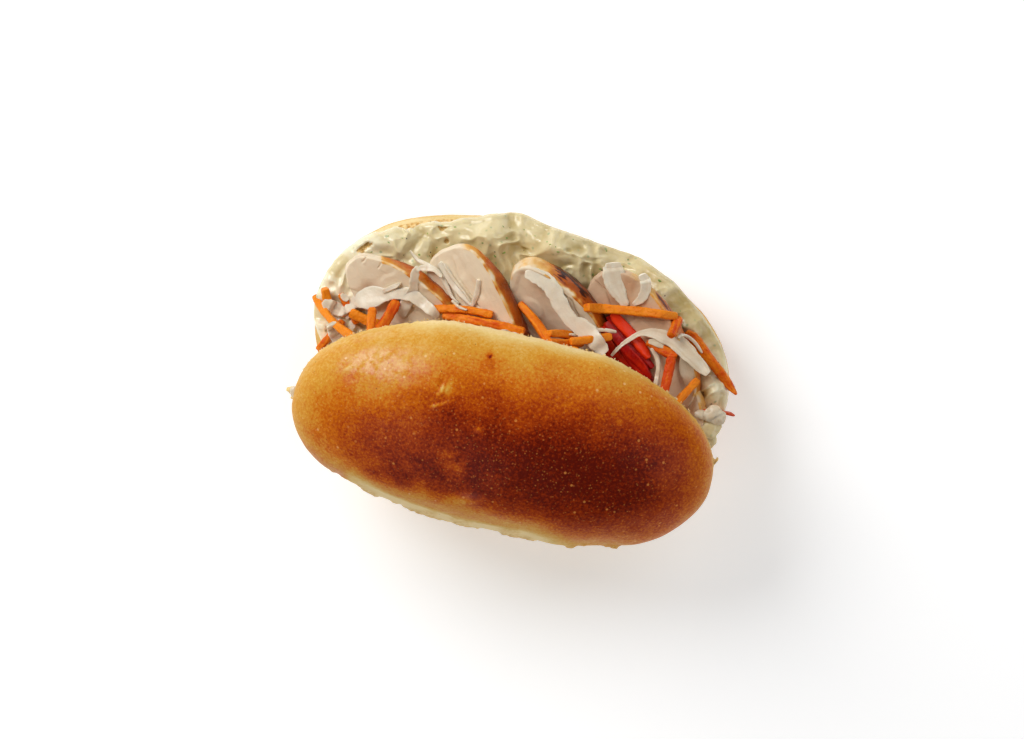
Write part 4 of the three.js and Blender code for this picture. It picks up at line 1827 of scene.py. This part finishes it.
@dataclass
class Family:
    """Strips of one vegetable, in the order they fell."""

    name: str
    finish: StripFinish
    seed: int
    thickness: float
    limpness: float
    exponent: float
    blunt: float
    lays: Sequence[Lay | Leaf]
    slot: Slot = Slot.SLAW
    replaced: tuple[str, ...] = ()
    waviness: float = 0.15
    twist: float = 0.1
    curl: float = 0.0
    crumple: float = 0.0
    ragged: float = 0.0
    sides: int = 12
    steps: int = 30
    stops: int = 7

    def build(self, pile: Pile) -> Piece:
        """Lets every strip fall on the pile and gathers them.

        Args:
            pile: what the strips fall on.

        Returns:
            The piece.
        """
        rng = np.random.default_rng(self.seed)
        stops = np.linspace(0, 1, self.stops)
        skin = Skin()
        for lay in self.lays:
            heights = pile.rest(lay.spots(stops), self.thickness, self.limpness * (1 - lay.stiff))
            rings = self.strip(lay, heights, rng)
            pile.add_rings(rings[::3])
            # Each strip's tone, partly painted shade or painted light, with its veins.
            skin.add_tube(rings, tint=lay.tint + rng.uniform(-0.2, 0.3) + self.veins(rings))
        return add_piece(skin.mesh(self.name), self.finish.build(), self.replaced)

    @staticmethod
    def veins(rings: Array) -> Array:
        """Streaks of colour along a strip: noise drawn out along its length.

        Args:
            rings: the strip's rings.

        Returns:
            How much darker each point is.
        """
        rows, cols = rings.shape[:2]
        across = np.cos(round_ways(cols))
        width = np.linalg.norm(rings[rows // 2, 0] - rings[rows // 2, cols // 2])
        length = np.linalg.norm(rings[-1, 0] - rings[0, 0])
        along, across = np.broadcast_arrays(np.linspace(0, length, rows)[:, None], across * width)
        return 0.5 * fractal(level((along / 6, across)) + rings[0, 0], 1.1, 2, 157)

    def strip(self, lay: Lay | Leaf, heights: Array, rng: np.random.Generator) -> Array:
        """One strip over its heights, uneven along its length.

        Args:
            lay: how it lies.
            heights: heights of its middle line, evenly spaced along it.
            rng: source of its unevenness.

        Returns:
            Its rings.
        """
        share = 0.5 - 0.5 * np.cos(np.linspace(0, np.pi, self.steps) * 0.98 + 0.0314)
        spots = lay.spots(share)
        length = np.linalg.norm(spots[-1] - spots[0])
        phase = rng.uniform(0, 6.3, 4)
        z = through(heights[:, None], share)[:, 0] + self.waviness * np.sin(share * length / 3.1 + phase[0])
        path = np.column_stack([spots, z])
        ends = np.maximum(0.12, (1 - np.abs(2 * share - 1) ** self.blunt) ** (1 / self.blunt))
        uneven = 1 + self.waviness * 0.8 * np.sin(share * length / 2.3 + phase[1])
        uneven = uneven + self.ragged * fractal(path, 1.8, 3, self.seed)
        thin = 1 + 0.5 * self.waviness * np.sin(share * length / 1.9 + phase[2])
        rings = ribbon(
            path,
            lay.widths(share) * uneven * ends,
            self.thickness * thin * np.minimum(1, ends * 1.4),
            self.exponent,
            self.sides,
            self.twist * np.sin(share * 2.5 + phase[3]),
            self.curl * ends,
        )
        push = np.stack([fractal(rings, 4.5, 2, self.seed + k) for k in (1, 2, 3)], axis=-1)
        return rings + self.crumple * push * [0.4, 0.4, 1.0]


PEPPER_STRIPS = Family(
    "pepper_strips", PEPPER, seed=3, thickness=2.0, limpness=0.45, exponent=3.4, blunt=14,
    slot=Slot.PEPPER, replaced=("red_pepper_strips",), waviness=0.06, twist=0.45, curl=0.15,
    ragged=0.1, sides=20, steps=44, stops=5,
    lays=tuple(Leaf(knots, tint=tint) for tint, knots in (
        (0.75, ((22.6, 14.4, 2), (27.2, 9.6, 2.8), (32.3, 5.4, 2.8), (37, 1, 2.4))),
        (0.7, ((24.4, 16.6, 2.4), (29, 11.6, 3), (34.3, 7.2, 3), (40, 2.4, 2.6), (44, -2, 2))),
        (0.5, ((31.2, 13.4, 2.2), (37.4, 9.1, 2.8), (43.5, 5.1, 3), (48.1, 0.4, 2.6), (51, -4, 2))),
        (0.75, ((27.6, 15.8, 2), (33, 11.4, 3), (38.6, 7.3, 3.2), (44, 3.3, 2.8), (48.6, -1.6, 2))),
        (0.6, ((25, 18.5, 2.4), (29.8, 14.6, 3.4), (35, 11, 3.6), (40.9, 7.7, 3.2), (45.3, 4.3, 2))),
        (0.85, ((25.2, 20.8, 2.2), (29.6, 17.6, 3.2), (34.6, 14.2, 3.4), (40.2, 10.9, 3), (45, 7.8, 2))),
        (-0.5, ((26.3, 22.2, 2.4), (29.6, 19.9, 3.8), (34.2, 17.2, 4.1), (39, 13.8, 3.8),
                (42.8, 10.6, 2.1))),
    )),
)
CARROT_STRIPS = Family(
    "carrot_strips", CARROT, seed=5, thickness=2.7, limpness=0.0, exponent=3.4, blunt=7,
    waviness=0.09, twist=0.3, crumple=0.12, ragged=0.14, sides=28, steps=60,
    lays=(
        Lay(-71.6, 3.6, -68.5, -3, 0, 3.2), Lay(-66, 3.4, -57.5, -5, 0, 2.6),
        Lay(-68.4, -17.6, -62.6, -5.4, 0, 2.5), Lay(-61, -2, -46, -4.4, 0, 3.6, tint=-0.2),
        Lay(-46.4, 6, -50.5, -8, 0.6, 3.8, tint=0.5), Lay(-53.5, 1, -51.5, -8, 0, 3, tint=0.6),
        Lay(-74.5, 0, -54.5, -10.5, -1.8, 2.8, tint=-0.35), Lay(-34, 6.6, -13, 10.4, 0.8, 2.8),
        Lay(-29.5, 5.4, -1, 7.8, 0.5, 3), Lay(-5, 16.6, 9.5, 4.8, 0.8, 3, tint=0.1),
        Lay(7, 9.4, 17.1, 10.9, 0.4, 2.8), Lay(8, 6.6, 19, 9, 0, 2.6), Lay(15, 8.6, 28, 14.2, 0, 2.8),
        Leaf(((40.6, 15.8, 2.2), (43.9, 15.4, 3.4), (48, 14.4, 3.6), (51.9, 14.1, 2.6)), tint=0.7),
        Lay(50, 13.4, 51, -4, 0, 3.3, tint=0.8), Lay(47.6, 20, 49, 26.4, 0, 3, tint=0.75),
        Leaf(((52.8, 23.1, 3), (56.7, 20.7, 4.2), (63.1, 16.1, 3.9), (68.7, 12, 3.4), (72.8, 8.7, 2.4),
              (75.4, 6.8, 1.1)), tint=0.5),
        Lay(60.9, 8, 54, -5, 0, 2.8), Lay(66, -1.4, 76.4, -0.1, 0.2, 1.1, tint=0.9),
    ),
)
CROSSING_STRIP = Family(
    "carrot_crossing", CARROT, seed=7, thickness=2.9, limpness=0.8, exponent=4.5, blunt=12,
    waviness=0.06, crumple=0.08, ragged=0.1, sides=28, steps=80,
    lays=(Lay(17.2, 21.5, 47.6, 27, 0.4, 3.2),),
)
CABBAGE_LEAVES = Family(
    "cabbage_leaves", CABBAGE, seed=11, thickness=1.0, limpness=0.6, exponent=2.6, blunt=10,
    waviness=0.04, twist=0.22, curl=0.3, crumple=0.3, ragged=0.15, sides=28, steps=110, stops=15,
    lays=(
        Leaf(((-41.8, 19.2, 2), (-42.5, 17.7, 2.7), (-42.4, 15, 3.2), (-41.9, 11.8, 3.3),
              (-42.4, 8.3, 4), (-43.3, 4.7, 4.5), (-43.2, 1.4, 2.7)), stiff=0.75),
        Leaf(((-41.8, 19.3, 1.5), (-39.4, 19.7, 2.1), (-36.7, 19.9, 1.8), (-33.4, 18.1, 1.2)), stiff=0.85),
        Leaf(((-63.2, -2.6, 1.6), (-61.7, -0.5, 3.4), (-59.9, 2.2, 5), (-57.4, 4.1, 7.6),
              (-54.9, 5.3, 7.8), (-51.4, 6.9, 5.4), (-48.4, 8, 4.2), (-45.3, 8.9, 4.3),
              (-42.1, 9.5, 4.5), (-38.4, 8.3, 4.3), (-34.6, 6.6, 4), (-31.2, 4.8, 2.7))),
        Leaf(((-51.8, 8.1, 1.3), (-49.5, 9.9, 1.8), (-47.6, 11.3, 1.6), (-46.7, 12.4, 0.9))),
        Leaf(((-71, -0.7, 2), (-69.2, -1.4, 4), (-66.3, -1.9, 5), (-63.2, -2.6, 3.4), (-61, -4, 1.4))),
        Leaf(((-66.3, -7.3, 2.8), (-64.4, -9.2, 5.4), (-62, -11.5, 6.2), (-59.8, -13.4, 5.4))),
        Leaf(((-65.6, 3.6, 1), (-64.4, 2.6, 2.2), (-63, 1.6, 1.4))),
        Leaf(((-60.2, -4.6, 1), (-59.2, -5.8, 2.2), (-58.6, -7.2, 1.2))),
        Leaf(((-6.2, 26.8, 3), (-2.5, 27.2, 5.2), (1.6, 26.2, 6.1), (5.1, 23.7, 5.8), (7.8, 20.7, 5.2),
              (10.9, 17.8, 5.2), (14, 15.5, 5.5), (17.4, 14.6, 6.1), (21.2, 12.5, 6.4),
              (25, 10.1, 5.5), (27.9, 8.4, 3.6)), stiff=0.6, tint=-0.2),
        Leaf(((54.4, 15.6, 4), (55.9, 10.8, 5.4), (57.6, 7.6, 4), (58, 5.4, 2.2)), tint=0.8),
        Leaf(((41, 16.2, 1.6), (44.7, 16.6, 3.6), (49, 16.8, 4.2), (52.5, 15.6, 3)), tint=0.6),
        Leaf(((30.1, 7.9, 1), (32, 11.7, 1.3), (34.8, 15.3, 1.7), (37.8, 18.1, 1.9), (41.9, 19.2, 3.6),
              (45.7, 19, 4.8), (49.6, 18.6, 5.8), (53.2, 17, 6.1), (57, 14.7, 5.2), (60.4, 12.8, 4.5),
              (63.7, 10.9, 3)), stiff=0.9, tint=0.6),
        Leaf(((21.8, 38.9, 5.5), (22.9, 35.7, 7.9), (24.9, 31.8, 7), (27.4, 28.8, 4.8),
              (30.4, 25.8, 3)), stiff=0.85),
        Leaf(((32.4, 37.6, 3), (34.2, 35.7, 3.6), (35.1, 32.8, 3.6), (34.5, 29.5, 3),
              (32.6, 27.1, 1.8)), stiff=0.85),
    ),
)
CABBAGE_SHREDS = Family(
    "cabbage_shreds", CABBAGE, seed=17, thickness=1.1, limpness=0.5, exponent=2.4, blunt=8,
    waviness=0.08, twist=0.4, curl=0.1, crumple=0.25, ragged=0.08, sides=14, steps=60,
    lays=tuple(Leaf(knots) for knots in (
        ((-46.6, 24.2, 0.6), (-43.2, 21.8, 1.3), (-39.7, 21.1, 1.6), (-36, 20, 1.9), (-33, 18, 1.9),
         (-30.5, 15.4, 1.6), (-28.1, 12.7, 1.2), (-25.2, 11.1, 0.8)),
        ((-35.7, 22.8, 2.4), (-33.3, 21.3, 3.2), (-30.6, 18.7, 2.9), (-27.1, 15.8, 2.7),
         (-23.6, 13.4, 2.1), (-21.2, 11.6, 1.1)),
        ((-34.4, 23.1, 0.8), (-31.7, 20.5, 1.1), (-29.2, 18.5, 1.1), (-25.3, 15.7, 0.9), (-21, 12.2, 0.7)),
        ((-20.9, 20.8, 1.6), (-20.5, 18.2, 1.9), (-20.4, 14.9, 1.7), (-20.8, 11.4, 1.4)),
        ((42.5, 14.2, 1.4), (45.4, 11.4, 1.7), (46.9, 7.6, 1.7), (47.3, 2.5, 1.6), (46.6, -2, 1.4)),
        ((-28, 11.4, 0.8), (-26.4, 10.6, 1.2), (-24.6, 9.8, 1), (-22, 9.6, 0.7)),
        ((14, 11, 0.9), (18, 12, 1.3), (24, 15.4, 1.6), (29.4, 16.4, 1.2)),
        ((50, 20, 0.8), (52, 21.6, 1.2), (56, 20.6, 1.2), (60, 17.4, 0.9)),
    )),
)


@dataclass(frozen=True)
class Clump:
    """Rounded lumps that touch. Each is X, Y, Z, half length, half width and half height."""

    name: str
    finish: StripFinish | CreamFinish
    slot: Slot
    rough: float
    lumps: Rows

    def build(self) -> Piece:
        """Makes each lump as an uneven ellipsoid with noise on it, turned a little from the last.

        Returns:
            The piece.
        """
        skin = Skin()
        for number, (*middle, long, wide, high) in enumerate(self.lumps):
            rings = lump(middle, (long, wide, high), number * 0.7, 7 + number, 0.25, 50, 70)
            rings = rings + unit(rings - middle) * self.rough * fractal(rings, 2.6, 2, 221)[..., None]
            # On the cream dollop this paints a little shade; the cabbage finish does not read it.
            skin.add_tube(rings, tint=0.6, hollow=0.2)
        return add_piece(skin.mesh(self.name), self.finish.build())


FLORETS = Clump("cabbage_florets", CABBAGE, Slot.SLAW, rough=0.45, lumps=(
    (66, -3.2, 36, 3, 1.8, 1.1), (69, -1.8, 36.4, 3.6, 2.6, 1.5),
    (71, -2.6, 36, 2.6, 3, 1.5), (-71.2, -33.6, 43.4, 2.4, 1.3, 0.9),
))
DOLLOP = Clump("cream_dollop", CreamFinish(), Slot.CREAM, rough=0.35, lumps=(
    (69.9, -6.2, 33.8, 3.4, 4.8, 2.4), (69.5, -9.4, 32.4, 2.8, 4.6, 2),
))


@dataclass
class SlawBed:
    """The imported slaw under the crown's edge: a core, and the tangle of strips that covers it."""

    roll: Roll
    half_length: float = 67.0
    out: float = 3.5
    across: float = 10.5
    at_left: float = 3.0
    up: float = 6.0
    end_height: float = 32.0
    rise: float = 13.5
    floor: float = 25.0
    hang: float = 1.5
    core: float = 0.42

    def section(self, along: Array, share: Array | float) -> tuple[Array, ...]:
        """The bed's section, whose middle rises and whose size falls with powers of the way along.

        Args:
            along: way along the bed, from -1 to 1.
            share: share of the section's full size.

        Returns:
            X, Y and Z of its middle, half its width, and how much of its height is left.
        """
        x = along * self.half_length
        left = share * np.sqrt(1 - np.abs(along) ** 3 * 0.96)
        across = (self.across + self.at_left * np.maximum(0, -along)) * left
        y = self.roll.crown_edge(x) + self.out - self.across
        return x, y, self.end_height + self.rise * (1 - np.abs(along) ** 2.4), across, left

    def rings(self, share: float) -> Array:
        """Rings of the bed: ovals along the crown's edge, made uneven by two sines.

        Args:
            share: share of the section's full size.

        Returns:
            Places shaped rings x points x 3.
        """
        x, y, z, across, left = self.section(np.linspace(-1, 1, 200)[:, None], share)
        angle = round_ways(60)[None]
        uneven = 1 + 0.12 * np.sin(x / 2.3) + 0.1 * np.sin(x / 4.1 + 1)
        y = y + across * uneven * np.cos(angle)
        z = z + self.up * left * uneven * np.sin(angle)
        return joined(x, y, z)

    def place(self, along: Array, angle: Array, share: Array | float) -> Array:
        """Places on the bed: half an oval over its middle, which below reaches down to the cream.

        Args:
            along: way along the bed, from -1 to 1.
            angle: way round its section, in radians.
            share: share of the section's full size.

        Returns:
            The places.
        """
        x, y, z, across, left = self.section(along, share)
        upright = np.where(np.sin(angle) > 0, self.up, self.hang * (z - self.floor))
        return joined(x, y + across * np.cos(angle), z + upright * left * np.sin(angle))

    def tangle(
        self, name: str, finish: StripFinish, count: int, seed: int, widths: tuple[float, float],
        thickness: float, exponent: float,
    ) -> Piece:
        """Winds strips round the core on its open side.

        Each follows the bed's surface along a straight line of its two ways, wavering in depth.

        Args:
            name: the piece's name.
            finish: its finish.
            count: how many strips.
            seed: picks their places.
            widths: smallest and largest width.
            thickness: their thickness.
            exponent: 2 for oval strips, more for square ones.

        Returns:
            The piece.
        """
        rng = np.random.default_rng(seed)
        skin = Skin()
        share = np.linspace(-0.5, 0.5, 26)
        ends = np.sqrt(np.maximum(0.05, 1 - np.abs(2 * share) ** 8))
        for _ in range(count):
            along = rng.uniform(-0.92, 0.92) + share * rng.uniform(8, 22) / self.half_length
            turn = math.radians(rng.uniform(-85, 60)) + share * rng.normal(0, 1.5)
            depth = rng.uniform(0.42, 0.56) + 0.05 * np.sin(share * 9 + rng.uniform(0, 6.3))
            path = self.place(np.clip(along, -0.99, 0.99), turn, depth)
            width = rng.uniform(*widths) * ends
            rings = ribbon(path, width, thickness * ends, exponent, 12, rng.uniform(-0.6, 0.6))
            skin.add_tube(rings, tint=rng.uniform(0, 0.8))
        return add_piece(skin.mesh(name), finish.build())

    def build(self) -> Piece:
        """Makes the core of the bed, smaller than the strips' reach and rough as chopped slaw.

        Returns:
            The piece.
        """
        rings = self.rings(self.core)
        outward = unit(rings - rings.mean(axis=1, keepdims=True))
        rough = 0.9 * fractal(rings * [1.0, 0.6, 1.0], 3.2, 3, 131)
        tint = ease(lattice_noise(rings, 5.0, 137), -0.5, 0.5)
        skin = Skin()
        skin.add_tube(rings + outward * rough[..., None], tint=tint)
        return add_piece(skin.mesh("packed_slaw"), MIXED.build(), ["carrot_cabbage_slaw"])


# ---- studio


@dataclass(frozen=True)
class Lamp:
    """A round soft box: where it stands as seen from the sandwich, its width and its watts."""

    name: str
    azimuth: float
    elevation: float
    distance: float
    size: float
    power: float

    def build(self) -> None:
        """Adds the soft box, facing the sandwich."""
        data = bpy.data.lights.new(self.name, "AREA")
        data.shape = "DISK"
        data.size = self.size * MILLIMETRE
        data.energy = self.power
        lamp = placed(self.name, data)
        azimuth, elevation = math.radians(self.azimuth), math.radians(self.elevation)
        way = Vector((
            math.cos(azimuth) * math.cos(elevation),
            math.sin(azimuth) * math.cos(elevation),
            math.sin(elevation),
        ))
        lamp.location = way * self.distance * MILLIMETRE
        lamp.rotation_euler = way.to_track_quat("Z", "Y").to_euler()


@dataclass
class Studio:
    """Camera straight above, soft light from the upper left and a near-white floor."""

    aim: tuple[float, float] = (-1.58, -5.85)
    camera_height: float = 1220.0
    turn: float = 15.7
    lens: float = 120.9
    lamps: tuple[Lamp, ...] = (
        Lamp("key", 154, 41, 800, 520, 5.0),
        Lamp("left_fill", 252, 35, 900, 700, 1.7),
        Lamp("back_fill", 65, 42, 900, 700, 1.9),
        Lamp("right_fill", 350, 34, 900, 700, 1.9),
    )
    fill: float = 0.07
    glow: float = 0.28
    floor_half: float = 3000.0
    floor_drop: float = 0.4

    def build(self) -> None:
        """Sets camera, lights, world and floor."""
        self._camera()
        self._lights()
        self._floor()
        bpy.context.scene.view_settings.view_transform = "Standard"

    def _camera(self) -> None:
        """A long lens looking straight down, turned so that the roll lies aslant."""
        data = bpy.data.cameras.new("camera")
        data.lens = self.lens
        data.sensor_width = 36
        camera = placed("camera", data)
        camera.location = Vector((*self.aim, self.camera_height)) * MILLIMETRE
        camera.rotation_euler = (0, 0, math.radians(self.turn))
        bpy.context.scene.camera = camera

    def _lights(self) -> None:
        """The soft boxes and an even white world."""
        for lamp in self.lamps:
            lamp.build()
        world = bpy.data.worlds.new("studio")
        world.use_nodes = True
        background = world.node_tree.nodes["Background"]
        background.inputs["Color"].default_value = (1, 1, 1, 1)
        background.inputs["Strength"].default_value = self.fill
        bpy.context.scene.world = world

    def _floor(self) -> None:
        """A wide flat floor under the sandwich."""
        corners = np.array([(-1, -1, 0), (1, -1, 0), (1, 1, 0), (-1, 1, 0)])
        mesh = bpy.data.meshes.new("floor")
        mesh.from_pydata((corners * self.floor_half * MILLIMETRE).tolist(), [], [(0, 1, 2, 3)])
        board = Board("floor")
        white = board.mix(board.noise(400, 1), (0.93, 0.93, 0.93, 1), (0.95, 0.95, 0.95, 1))
        mesh.materials.append(board.finished(
            Base_Color=white, Roughness=0.9, Specular_IOR_Level=0.0, Emission_Color=(1, 1, 1, 1),
            Emission_Strength=self.glow,
        ))
        floor = placed("floor", mesh)
        floor.location.z = -self.floor_drop * MILLIMETRE


def main() -> None:
    """Builds the sandwich from the roll up."""
    logging.basicConfig(level=logging.INFO, format="%(message)s")
    Studio().build()
    roll = Roll()
    roll.build()
    chicken = Chicken()
    cream = Cream(roll, banks=chicken.slices)
    layer = cream.build()
    cream.flecks(90, seed=5, sizes=(0.6, 1.5), name="herb_flecks", finish=HERB)
    cream.flecks(28, seed=6, sizes=(0.4, 0.8), name="pepper_flecks", finish=SPICE)
    roll.rim_crumbs(110, seed=9)
    roll.nubs()
    pile = Pile(roll, [tree_of(piece.data) for piece in (layer, *chicken.build())])
    PEPPER_STRIPS.build(pile)
    bed = SlawBed(roll)
    bed.build()
    bed.tangle("cabbage_tangle", CABBAGE, 260, 21, widths=(1.2, 2.8), thickness=0.9, exponent=2.4)
    bed.tangle("carrot_tangle", CARROT, 90, 22, widths=(2.2, 2.9), thickness=2.4, exponent=4)
    pile.add_rings(bed.rings(0.6))
    for family in (CARROT_STRIPS, CABBAGE_SHREDS, CABBAGE_LEAVES, CROSSING_STRIP):
        family.build(pile)
    for clump in (FLORETS, DOLLOP):
        clump.build()


if __name__ == "__main__":
    main()
